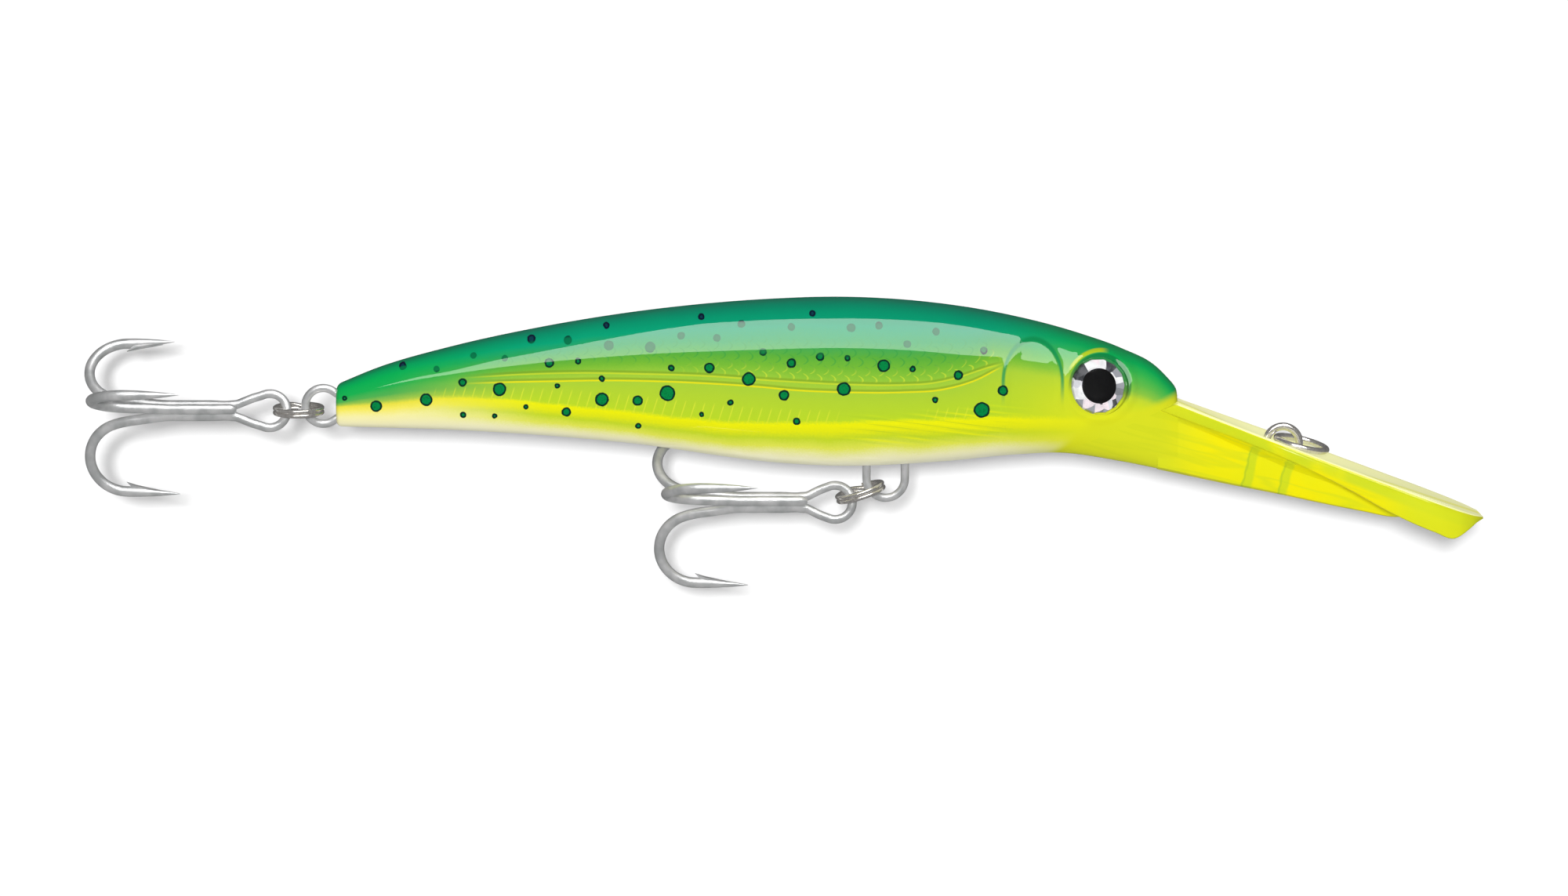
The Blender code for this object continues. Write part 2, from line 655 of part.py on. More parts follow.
def build():
    shell = make_material("shell_green", (0.25, 0.62, 0.06), 0.15)
    clear_yellow = make_material("lip_yellow", (0.9, 0.85, 0.02), 0.1)
    steel = make_material("hook_steel", (0.55, 0.56, 0.57), 0.35, 1.0)
    nickel = make_material("ring_nickel", (0.6, 0.58, 0.55), 0.2, 1.0)
    silver = make_material("eye_silver", (0.85, 0.85, 0.87), 0.15, 1.0)
    black = make_material("eye_black", (0.01, 0.01, 0.01), 0.3)
    glassy = make_material("eye_clear", (0.95, 0.95, 0.95), 0.05)
    film = make_material("scale_film", (0.5, 0.75, 0.15), 0.25, 0.6)
    lead = make_material("weight_lead", (0.3, 0.3, 0.32), 0.5, 0.8)

    sides = {"right": -1.0, "left": 1.0}
    for label, side in sides.items():
        shell_half(f"body_shell_{label}", side, shell)
        liner(f"scale_foil_{label}", side, WALL + 0.35, WALL + 0.65, 0.0, film)
        lure_eye(label, side, silver, black, glassy)
    diving_lip(clear_yellow)
    wire("hanger_wire", hanger_points(), HANGER_WIRE, steel)
    wire("line_tie", tie_points(), TIE_WIRE, steel)
    belly_weight(lead)
    rattle_ball("rattle_ball_tail", TAIL_BALL, steel)
    rattle_ball("rattle_ball_head", HEAD_BALL, steel)

    set_origin(tow_ring(nickel), (TOW_STRAND[0], 0.0, TOW_STRAND[1]))
    fittings = (("tail", TAIL_STRAND, TAIL_RING_TILT, TAIL_THROAT),
                ("belly", BELLY_STRAND, BELLY_RING_TILT, BELLY_THROAT))
    for label, strand, tilt, throat in fittings:
        ring = split_ring(f"{label}_split_ring", strand, tilt, nickel)
        set_origin(ring, (strand[0], 0.0, strand[1]))
        bpy.context.view_layer.update()
        centre = ring_centre(strand, tilt)
        pivot = make_empty(f"{label}_hook_pivot", (centre[0], 0.0, centre[1]), ring)
        for hook in treble(label, throat, steel):
            set_origin(hook, (centre[0], 0.0, centre[1]))
            bpy.context.view_layer.update()
            hang_on(hook, pivot)


clear_scene()
build()
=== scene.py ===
"""Looks of the trolling crankbait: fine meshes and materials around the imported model.

Lengths here are in millimetres, and MM turns them into metres. Body stations run forward from the tail face.
"""

import json
import math

import bmesh
import bpy
import numpy as np
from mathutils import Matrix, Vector

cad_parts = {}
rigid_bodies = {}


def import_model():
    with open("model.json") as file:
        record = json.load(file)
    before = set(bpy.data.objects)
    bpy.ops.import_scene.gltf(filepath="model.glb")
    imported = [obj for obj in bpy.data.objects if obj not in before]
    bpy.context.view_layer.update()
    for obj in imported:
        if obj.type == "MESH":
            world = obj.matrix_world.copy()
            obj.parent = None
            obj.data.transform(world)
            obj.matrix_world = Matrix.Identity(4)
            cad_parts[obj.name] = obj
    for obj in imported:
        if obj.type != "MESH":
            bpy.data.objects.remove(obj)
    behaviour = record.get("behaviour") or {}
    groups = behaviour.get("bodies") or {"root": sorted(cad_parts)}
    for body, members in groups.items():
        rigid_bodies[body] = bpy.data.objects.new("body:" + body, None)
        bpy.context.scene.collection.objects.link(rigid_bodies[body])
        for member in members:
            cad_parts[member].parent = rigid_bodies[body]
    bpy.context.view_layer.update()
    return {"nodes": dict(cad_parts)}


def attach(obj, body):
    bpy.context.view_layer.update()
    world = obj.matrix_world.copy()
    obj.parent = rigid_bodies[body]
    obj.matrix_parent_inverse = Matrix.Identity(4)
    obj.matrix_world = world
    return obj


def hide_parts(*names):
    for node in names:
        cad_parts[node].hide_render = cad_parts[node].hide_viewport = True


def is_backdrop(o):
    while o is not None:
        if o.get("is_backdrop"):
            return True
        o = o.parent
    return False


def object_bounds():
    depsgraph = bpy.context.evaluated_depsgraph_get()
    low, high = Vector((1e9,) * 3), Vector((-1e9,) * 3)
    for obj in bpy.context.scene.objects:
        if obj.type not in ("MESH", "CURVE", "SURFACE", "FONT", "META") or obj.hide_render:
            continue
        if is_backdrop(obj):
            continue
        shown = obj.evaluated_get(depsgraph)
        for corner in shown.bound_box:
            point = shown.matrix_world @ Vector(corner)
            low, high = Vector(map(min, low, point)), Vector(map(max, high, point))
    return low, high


MM = 0.001

# The body outline, the same as the CAD model's.
BODY_LENGTH = 160.0
TAIL_X = -180.3
WALL = 1.8
SECTION_POWER = 2.25
BACK = [(0, 11.2), (7.5, 14.3), (22, 18.5), (37, 21.8), (52, 24.4), (67, 26.3), (82, 27.5), (97, 27.9),
        (112, 27.0), (127, 24.7), (142, 20.8), (149.5, 18.1), (156, 14.7), (160, 10.6)]
BELLY = [(0, 3.2), (25, 2.4), (55, 0.1), (85, -3.8), (94, -4.3), (115, -3.5), (130, -2.1), (137, -1.8),
         (149.5, -3.5), (157, -5.0), (160, -5.6)]
HALF_WIDTH = [(0, 3.4), (10, 4.4), (30, 6.4), (60, 8.8), (90, 10.3), (115, 10.6), (130, 10.1), (140, 9.0),
              (150, 7.3), (157, 5.6), (160, 4.7)]
SKIN_GAP = 0.01  # half of the seam between the two halves
HOLLOW = (5, 134)  # stations that the shells' hollow runs between
EDGE_ROUND = 0.9  # radius at the body's ends

# The lip's sections, as in the CAD model but for a deeper skirt near the tip.
NOSE = (-20.3, 8.2)
CHIN = (-43.3, -1.8)
JOINT_SLOPE = (NOSE[1] - CHIN[1]) / (NOSE[0] - CHIN[0])
BLADE_SLOPE = -0.374
BLADE_THICK = 2.6
BLADE_START = -24.0
BLADE_TIP = 37.7
BLADE_HALF_WIDTH = [(-24, 6.2), (-20, 7.2), (-12, 9.0), (-3, 11.0), (8, 12.2), (20, 12.8), (31, 12.5),
                    (34, 11.3), (36.3, 9.0), (37.7, 6.0)]
BLADE_DISH = [(-24, 0.0), (-14, 0.6), (-4, 1.4), (8, 1.4), (22, 0.7), (37.7, 0.0)]
SKIRT_DEPTH = [(-24, 2.7), (2, 2.8), (12, 4.0), (20, 5.4), (28, 5.9), (31.6, 5.8), (34.5, 3.2), (36.2, 1.4),
               (37.7, 0.45)]
SKIRT_THICK = 2.2
KEEL_BOTTOM = [(-24, -5.0), (-11.4, -7.7), (0.6, -10.1), (6.6, -11.4), (15.6, -13.2), (21, -14.2),
               (25, -14.0), (30, -13.0), (37.7, -14.5)]
KEEL_HALF_WIDTH = [(-24, 4.2), (-12, 3.6), (0, 2.7), (15, 1.8), (26, 1.4), (34.5, 1.0), (37.7, 0.4)]
TANG = [(-46, 1.4), (-46, 6.4), (-29, 9.6), (-24.5, 9.6), (-24.5, 3.0), (-36, 0.2), (-40.0, -1.0)]
TANG_HALF_WIDTH = 2.4

# Wires, rings and hooks, as in the CAD model but for the bore's play, the rings' roll and coils, and
# the hooks' legs, which are closer together.
TIE_WIRE = 0.75
TIE_ARCH = 3.15
TIE_LEG_TILT = math.radians(20.5)
TIE_LEG_LENGTH = 8.0
TAIL_LOOP_CENTRE = (-182.9, 7.07)
TAIL_LOOP = 3.42
HANGER_WIRE = 0.78
BELLY_ARC_CENTRE = (-75.7, -6.9)
BELLY_ARC = 3.65
BORE_PLAY = 0.25
TOW_RING = 4.85
TOW_RING_WIRE = 0.65
TOW_RING_TILT = math.radians(-13.3)
TOW_STRAND = (-1.2, 0.95)
SPLIT_RING = 4.25
SPLIT_RING_HALF_RADIAL = 0.65
SPLIT_RING_HALF_AXIAL = 0.85
COIL_CORNER = 0.36
COIL_GAP = 0.04  # half of the gap between the two coils
COIL_START = 95  # degrees
COIL_SHORTFALL = 14  # degrees that the two turns fall short of full ones
COIL_STEP = 32  # degrees on each side of the middle in which the wire crosses between levels
# The rings lie a little low on the camera's side.
RING_ROLL = {"tow": math.radians(5.0), "tail": math.radians(5.0), "belly": math.radians(3.5)}
TAIL_STRAND = (-183.35, 6.3)
BELLY_STRAND = (-76.5, -8.1)
BELLY_RING_TILT = math.radians(18.0)
HOOK_WIRE = 1.0
HOOK_EYE_WIRE = 0.85
LEG_OFFSET = 1.18
EYE_ROUND = 3.3
EYE_REACH = {"tail": 10.45, "belly": 9.55}
BEND_RADIUS = 7.0
BEND_HEIGHT = 9.6
POINT_RISE = 17.1
# Each shank's turn about the treble's axis in degrees, and how far back its bend's middle and its point are.
UPPER_PRONG = (44.7, 20.8, 11.9)
LOWER_PRONG = (-75.3, 20.4, 10.4)
SIDE_PRONG = (164.7, 18.8, 8.4)
TAIL_THROAT = (-200.3, 6.25)
BELLY_THROAT = (-91.6, -11.35)

# How the line tie's two bores look through the side of the lip: their tilt, and their places along it.
LEG_LOOK_TILT = math.radians(13.0)
LEG_LOOK = (-5.2, 1.8)

# The lure's eye.
EYE_CENTRE = (-35.3, 11.7)
EYE_YAW = math.radians(14.0)
EYE_PITCH = math.radians(8.0)
SOCKET = 5.65
SOCKET_DEPTH = 1.3
FOIL = 5.3
PUPIL = 3.3
LENS = 5.45

FOIL_FACETS = 14

RAGGED = 0.34  # how far the paint's edges wander round a spot

# Painted spots: station, height, radius.
SPOTS = [
    (1.5, 8.5, 0.5), (7.5, 7, 1.1), (12.5, 14.5, 0.7), (17, 8.2, 1.2), (19, 14, 0.6), (24, 11.5, 0.8),
    (24, 5.2, 0.6), (26, 16.5, 0.6), (30, 5, 0.5), (31, 10.2, 1.3), (32, 16, 0.6), (36, 6.8, 0.5),
    (37, 19.5, 0.8), (40.5, 15.2, 0.9), (42, 10.8, 0.5), (43.7, 5.8, 0.9), (44, 19.3, 0.8), (46, 15.5, 0.6),
    (50.5, 12.2, 0.6), (50.5, 8.2, 1.3), (51.3, 22, 0.6), (51.8, 18.4, 0.9), (57.4, 3, 0.6), (57.3, 8, 1.0),
    (59.7, 18.1, 1.0), (63, 9.4, 1.5), (63.7, 14.2, 0.6), (65.6, 20.2, 0.7), (69.4, 23.6, 0.6),
    (69.5, 5.3, 0.5), (72.4, 19.8, 0.7), (71, 14.2, 1.0), (75, 7.6, 0.6), (77.1, 22.3, 0.7),
    (78.5, 12.1, 1.3), (81.2, 17.2, 0.7), (85.2, 9, 1.0), (86.6, 21.8, 0.7), (86.6, 15.1, 0.9),
    (87.6, 4, 0.7), (90.6, 24.2, 0.6), (92.1, 16.3, 0.8), (96.6, 10.2, 1.3), (97.3, 16, 0.6),
    (98, 21.6, 0.8), (103.3, 22, 0.7), (104.2, 14.6, 1.2), (108.7, 18.6, 0.7), (109.7, 14, 0.6),
    (114, 8.1, 0.6), (114.2, 20.9, 0.7), (118.4, 12.8, 0.9), (122.9, 6.2, 1.5), (123.3, 17.4, 0.7),
    (126.9, 9.9, 1.0),
]

# Camera, in millimetres.
VIEW_ELEVATION = math.radians(6.0)
VIEW_CENTRE = (-95.1, -1.0)
VIEW_DISTANCE = 1200.0
VIEW_WIDTH = 299.0
SENSOR = 36.0

# Stage, in metres and watts. The paper is clear of the hooks as they swing.
PAPER_SIZE = (0.42, 0.28)
PAPER_BEHIND = 0.045
FLOOR_SIZE = 6.0
FLOOR_DROP = 0.12
KEY_AHEAD = 2.4
KEY_OFFSET = (-0.069, 0.0, 0.086)
KEY_SIZE = 0.16
KEY_WATTS = 36.0
FILL_SIZE = (1.2, 0.8)
FILLS = [("top", -0.5, 1.6, 5.4), ("low", -0.9, -1.2, 3.4)]  # name, y, z, watts
SKY = {"diffuse": 0.21, "mirrored": 0.12, "seen": 1.0}

# The softbox in the lure's reflections: its place and outline in millimetres, and its strength.
SOFTBOX_PLACE = (-95, -620, 620)
SOFTBOX = [
    (-430, -385), (-235, -345), (-25, -303), (214, -246), (384, -214), (520, -150), (520, 330),
    (400, 560), (180, 551), (-8, 400), (-142, 400), (-246, 100), (-345, -150),
]
SOFTBOX_STRENGTH = 6.4


def curve_value(points, x):
    """Height of a smooth curve through given points (a cubic with Catmull-Rom slopes)."""
    xs = np.array([p[0] for p in points], float)
    ys = np.array([p[1] for p in points], float)
    slopes = np.gradient(ys, xs)
    x = np.clip(np.asarray(x, float), xs[0], xs[-1])
    i = np.clip(np.searchsorted(xs, x) - 1, 0, len(xs) - 2)
    step = xs[i + 1] - xs[i]
    t = (x - xs[i]) / step
    rise = slopes[i] * step
    fall = slopes[i + 1] * step
    return ((2 * t**3 - 3 * t**2 + 1) * ys[i] + (t**3 - 2 * t**2 + t) * rise
            + (3 * t**2 - 2 * t**3) * ys[i + 1] + (t**3 - t**2) * fall)


def linear(red, green, blue):
    """A screen colour from 0 to 255 as linear values."""
    out = []
    for value in (red, green, blue):
        share = value / 255
        out.append(share / 12.92 if share <= 0.04045 else ((share + 0.055) / 1.055) ** 2.4)
    return (*out, 1.0)


# ---------------------------------------------------------------- meshes

def add_object(name, data):
    obj = bpy.data.objects.new(name, data)
    bpy.context.scene.collection.objects.link(obj)
    return obj


def make_object(name, vertices, faces, smooth=40):
    """An object from millimetre points, its faces turned to point out."""
    mesh = bpy.data.meshes.new(name)
    mesh.from_pydata((np.asarray(vertices, float) * MM).tolist(), [], faces)
    work = bmesh.new()
    work.from_mesh(mesh)
    bmesh.ops.recalc_face_normals(work, faces=work.faces)
    work.to_mesh(mesh)
    work.free()
    obj = add_object(name, mesh)
    finish_surface(obj, smooth)
    return obj


def finish_surface(obj, angle=40):
    """Smooth shading with creases where faces meet at more than the angle."""
    obj.data.shade_smooth()
    obj.data.set_sharp_from_angle(angle=math.radians(angle))


def loft(name, rings, smooth=40):
    """A closed solid through rings that hold the same number of points."""
    size = len(rings[0])
    vertices = [tuple(point) for ring in rings for point in ring]
    faces = [tuple(range(size))]
    for r in range(len(rings) - 1):
        for k in range(size):
            after = (k + 1) % size
            faces.append((r * size + k, r * size + after, (r + 1) * size + after, (r + 1) * size + k))
    last = (len(rings) - 1) * size
    faces.append(tuple(range(last + size - 1, last - 1, -1)))
    return make_object(name, vertices, faces, smooth)


def tube(name, points, radii, sides):
    """A round wire along points."""
    points = [Vector([float(c) for c in p]) for p in points]
    directions = []
    for i in range(len(points)):
        before = points[max(i - 1, 0)]
        after = points[min(i + 1, len(points) - 1)]
        directions.append((after - before).normalized())
    side = directions[0].orthogonal().normalized()
    rings = []
    for point, direction, radius in zip(points, directions, radii):
        side = (side - direction * side.dot(direction)).normalized()
        up = direction.cross(side)
        ring = []
        for k in range(sides):
            angle = 2 * math.pi * k / sides
            ring.append(point + (side * math.cos(angle) + up * math.sin(angle)) * radius)
        rings.append(ring)
    return loft(name, rings, 50)


def smooth_path(points, step):
    """Evenly spaced points on a smooth curve, and lengths along it: the given points' and the new ones'."""
    points = np.array(points, float)
    lengths = np.concatenate([[0], np.cumsum(np.linalg.norm(np.diff(points, axis=0), axis=1))])
    at = np.linspace(0, lengths[-1], max(4, round(lengths[-1] / step)))
    return np.stack([curve_value(list(zip(lengths, points[:, k])), at) for k in range(3)], 1), lengths, at


def turned(name, profile, steps):
    """A solid turned about its own Z axis. The profile starts and ends on the axis."""
    inner = profile[1:-1]
    size = len(inner)
    vertices = [(0.0, 0.0, profile[0][1]), (0.0, 0.0, profile[-1][1])]
    for i in range(steps):
        angle = 2 * math.pi * i / steps
        vertices += [(r * math.cos(angle), r * math.sin(angle), h) for r, h in inner]
    faces = []
    for i in range(steps):
        here = 2 + i * size
        after = 2 + ((i + 1) % steps) * size
        faces.append((0, here, after))
        faces.append((1, after + size - 1, here + size - 1))
        for k in range(size - 1):
            faces.append((here + k, here + k + 1, after + k + 1, after + k))
    return make_object(name, vertices, faces)


def move_points(obj, change):
    """Moves an object's mesh points with a function of millimetre coordinates."""
    for vertex in obj.data.vertices:
        moved = change(np.array(vertex.co) / MM)
        vertex.co = Vector([float(c) * MM for c in moved])
    obj.data.update()


def turn_about_y(obj, angle, x, z):
    """Tips a mesh up by the angle at its +X side, then moves its middle to (x, 0, z)."""
    c = math.cos(angle)
    s = math.sin(angle)
    move_points(obj, lambda p: (x + p[0] * c - p[2] * s, p[1], z + p[0] * s + p[2] * c))


def boolean(obj, other, operation):
    """Applies a Boolean to the object and deletes the other shape."""
    modifier = obj.modifiers.new(operation, "BOOLEAN")
    modifier.operation = operation
    modifier.solver = "EXACT"
    modifier.object = other
    bpy.context.view_layer.update()
    graph = bpy.context.evaluated_depsgraph_get()
    result = bpy.data.meshes.new_from_object(obj.evaluated_get(graph))
    obj.modifiers.remove(modifier)
    obj.data = result
    bpy.data.objects.remove(other)


def dress(obj, body, node, material):
    """Gives a piece its material and body, and hides the CAD node it takes the place of."""
    obj.data.materials.clear()
    obj.data.materials.append(material)
    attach(obj, body)
    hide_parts(node)


# ---------------------------------------------------------------- materials

class Nodes:
    """Short calls to build one material's node tree. Colours are on the screen's scale of 0 to 255."""

    def __init__(self, name):
        self.material = bpy.data.materials.new(name)
        self.material.use_nodes = True
        self.tree = self.material.node_tree
        self.shader = self.tree.nodes["Principled BSDF"]

    def add(self, kind, **settings):
        node = self.tree.nodes.new(kind)
        for key, value in settings.items():
            setattr(node, key, value)
        return node

    def plug(self, value, socket):
        if hasattr(value, "links"):
            self.tree.links.new(value, socket)
        else:
            socket.default_value = value

    def math(self, operation, a, b=0.0):
        node = self.add("ShaderNodeMath", operation=operation)
        self.plug(a, node.inputs[0])
        self.plug(b, node.inputs[1])
        return node.outputs[0]

    def times(self, *values):
        result = values[0]
        for value in values[1:]:
            result = self.math("MULTIPLY", result, value)
        return result

    def plus(self, a, b):
        return self.math("ADD", a, b)

    def minus(self, a, b):
        return self.math("SUBTRACT", a, b)

    def over(self, a, b):
        return self.math("DIVIDE", a, b)

    def most(self, a, b):
        return self.math("MAXIMUM", a, b)

    def absolute(self, value):
        return self.math("ABSOLUTE", value)

    def sine(self, value):
        return self.math("SINE", value)

    def polar(self, x, z):
        """Distance and angle of a place given from a centre."""
        distance = self.math("SQRT", self.plus(self.times(x, x), self.times(z, z)))
        return distance, self.math("ARCTAN2", z, x)

    def vector(self, x, y, z):
        node = self.add("ShaderNodeCombineXYZ")
        for value, socket in zip((x, y, z), node.inputs):
            self.plug(value, socket)
        return node.outputs[0]

    def parts(self, vector):
        node = self.add("ShaderNodeSeparateXYZ")
        self.plug(vector, node.inputs[0])
        return node.outputs

    def vector_math(self, operation, a, b):
        node = self.add("ShaderNodeVectorMath", operation=operation)
        self.plug(a, node.inputs[0])
        self.plug(b, node.inputs["Scale" if operation == "SCALE" else 1])
        return node.outputs["Value" if operation == "DISTANCE" else 0]

    def step(self, value, low, high):
        """0 below low and 1 above high, smooth between. low may be the larger one."""
        node = self.add("ShaderNodeMapRange", interpolation_type="SMOOTHSTEP")
        self.plug(value, node.inputs["Value"])
        node.inputs["From Min"].default_value = min(low, high)
        node.inputs["From Max"].default_value = max(low, high)
        node.inputs["To Min"].default_value = 0.0 if low < high else 1.0
        node.inputs["To Max"].default_value = 1.0 if low < high else 0.0
        return node.outputs["Result"]

    def near(self, value, middle, none, full):
        """1 within full of the middle and 0 beyond none."""
        return self.step(self.absolute(self.minus(value, middle)), none, full)

    def mix(self, share, a, b, blend="MIX"):
        node = self.add("ShaderNodeMix", data_type="RGBA", blend_type=blend)
        self.plug(share, node.inputs[0])
        self.plug(a, node.inputs[6])
        self.plug(b, node.inputs[7])
        return node.outputs[2]

    def paint(self, under, colour, *shares):
        """A screen colour over what is there, by the product of the shares."""
        return self.mix(self.times(*shares), under, linear(*colour))

    def ramp(self, value, stops, mode="LINEAR"):
        node = self.add("ShaderNodeValToRGB")
        node.color_ramp.interpolation = mode
        elements = node.color_ramp.elements
        while len(elements) < len(stops):
            elements.new(0.5)
        for element, (place, colour) in zip(elements, stops):
            element.position = place
            element.color = linear(*colour)
        self.plug(value, node.inputs["Fac"])
        return node.outputs["Color"]

    def noise(self, place, scale, detail=2.0, output="Fac"):
        node = self.add("ShaderNodeTexNoise")
        self.plug(place, node.inputs["Vector"])
        node.inputs["Scale"].default_value = scale
        node.inputs["Detail"].default_value = detail
        return node.outputs[output]

    def millimetres(self):
        """The place on the piece in millimetres, as a vector and its three parts."""
        place = self.vector_math("SCALE", self.add("ShaderNodeTexCoord").outputs["Object"], 1 / MM)
        return place, *self.parts(place)

    def pair(self, name):
        """The two measures that a map holds."""
        parts = self.parts(self.add("ShaderNodeUVMap", uv_map=name).outputs["UV"])
        return parts[0], parts[1]

    def bump(self, height, distance, strength):
        node = self.add("ShaderNodeBump")
        node.inputs["Strength"].default_value = strength
        node.inputs["Distance"].default_value = distance * MM
        self.plug(height, node.inputs["Height"])
        self.tree.links.new(node.outputs["Normal"], self.shader.inputs["Normal"])

    def set(self, **values):
        for key, value in values.items():
            self.plug(value, self.shader.inputs[key.replace("_", " ")])


MID_PAINT = [
    (0.00, (253, 251, 224)), (0.055, (247, 244, 190)), (0.11, (226, 230, 84)), (0.165, (194, 214, 40)),
    (0.205, (224, 228, 20)), (0.245, (236, 236, 8)), (0.275, (184, 214, 40)), (0.43, (174, 206, 50)),
    (0.525, (162, 202, 58)), (0.575, (140, 193, 56)), (0.63, (114, 182, 52)), (0.69, (90, 172, 58)),
    (0.78, (44, 164, 96)), (0.86, (2, 166, 120)), (0.935, (0, 156, 114)), (1.00, (2, 140, 108)),
]
TAIL_PAINT = [
    (0.00, (247, 243, 208)), (0.13, (247, 240, 168)), (0.20, (242, 231, 98)), (0.245, (230, 220, 70)),
    (0.315, (150, 192, 74)), (0.42, (80, 172, 80)), (0.58, (24, 172, 78)), (0.80, (2, 176, 84)),
    (0.90, (0, 168, 92)), (1.00, (0, 142, 94)),
]
# Painted reflections on the eye foil's facets: dark, grey, bright and rosy.
FOIL_PAINTED_REFLECTIONS = [
    (0.00, (56, 58, 62)), (0.10, (160, 162, 168)), (0.22, (255, 255, 255)), (0.68, (226, 226, 232)),
    (0.80, (255, 240, 245)), (0.93, (130, 132, 136)),
]
HEAD_PAINT = [
    (0.00, (224, 228, 31)), (0.25, (224, 228, 30)), (0.33, (218, 224, 36)), (0.42, (207, 221, 38)),
    (0.50, (193, 215, 50)), (0.58, (138, 198, 66)), (0.68, (98, 190, 74)), (0.80, (56, 186, 80)),
    (0.90, (4, 180, 88)), (1.00, (0, 160, 90)),
]


def body_paint():
    """Green back, yellow-green flank, cream belly, dark-rimmed spots, and scales under a clear gloss."""
    n = Nodes("body_paint")
    place, x, _, z = n.millimetres()
    along, height = n.pair("girth")
    station = n.times(along, BODY_LENGTH)
    wander = n.times(n.minus(n.noise(place, 0.10, 3.0), 0.5), 0.05)
    speckle = n.times(n.minus(n.noise(place, 3.0, 2.0), 0.5), 0.03)
    shifted = n.plus(height, n.plus(wander, speckle))
    mid, tail, head = (n.ramp(shifted, stops) for stops in (MID_PAINT, TAIL_PAINT, HEAD_PAINT))
    # The cream belly ends on a slant at the chin.
    chin = n.minus(station, n.times(z, 1.1))
    cream_end = n.times(n.step(chin, 136.5, 139.5), n.step(height, 0.30, 0.20))
    painted = n.mix(n.step(station, 42.0, 8.0), mid, tail)
    painted = n.mix(n.step(station, 122.0, 148.0), painted, head)
    painted = n.paint(painted, (219, 224, 32), cream_end)
    # The green ends just above the joint with the lip.
    joint = n.plus(n.times(x, JOINT_SLOPE), CHIN[1] - JOINT_SLOPE * CHIN[0])
    above_joint = n.minus(z, joint)
    near_joint = n.times(n.step(above_joint, 2.6, 0.7), n.step(station, 140.0, 149.0))
    painted = n.paint(painted, (217, 223, 34), near_joint)
    painted = flank_marks(n, painted, station, height, z)
    painted = spots(n, painted, place, x, z, height)
    n.set(Base_Color=painted, Roughness=0.5, Specular_IOR_Level=0.0)
    facing = n.add("ShaderNodeLayerWeight").outputs["Facing"]
    n.set(Coat_Weight=n.minus(1.0, n.times(n.step(facing, 0.6, 0.95), 0.8)))
    n.set(Coat_Roughness=0.015, Coat_IOR=1.45)
    return n.material


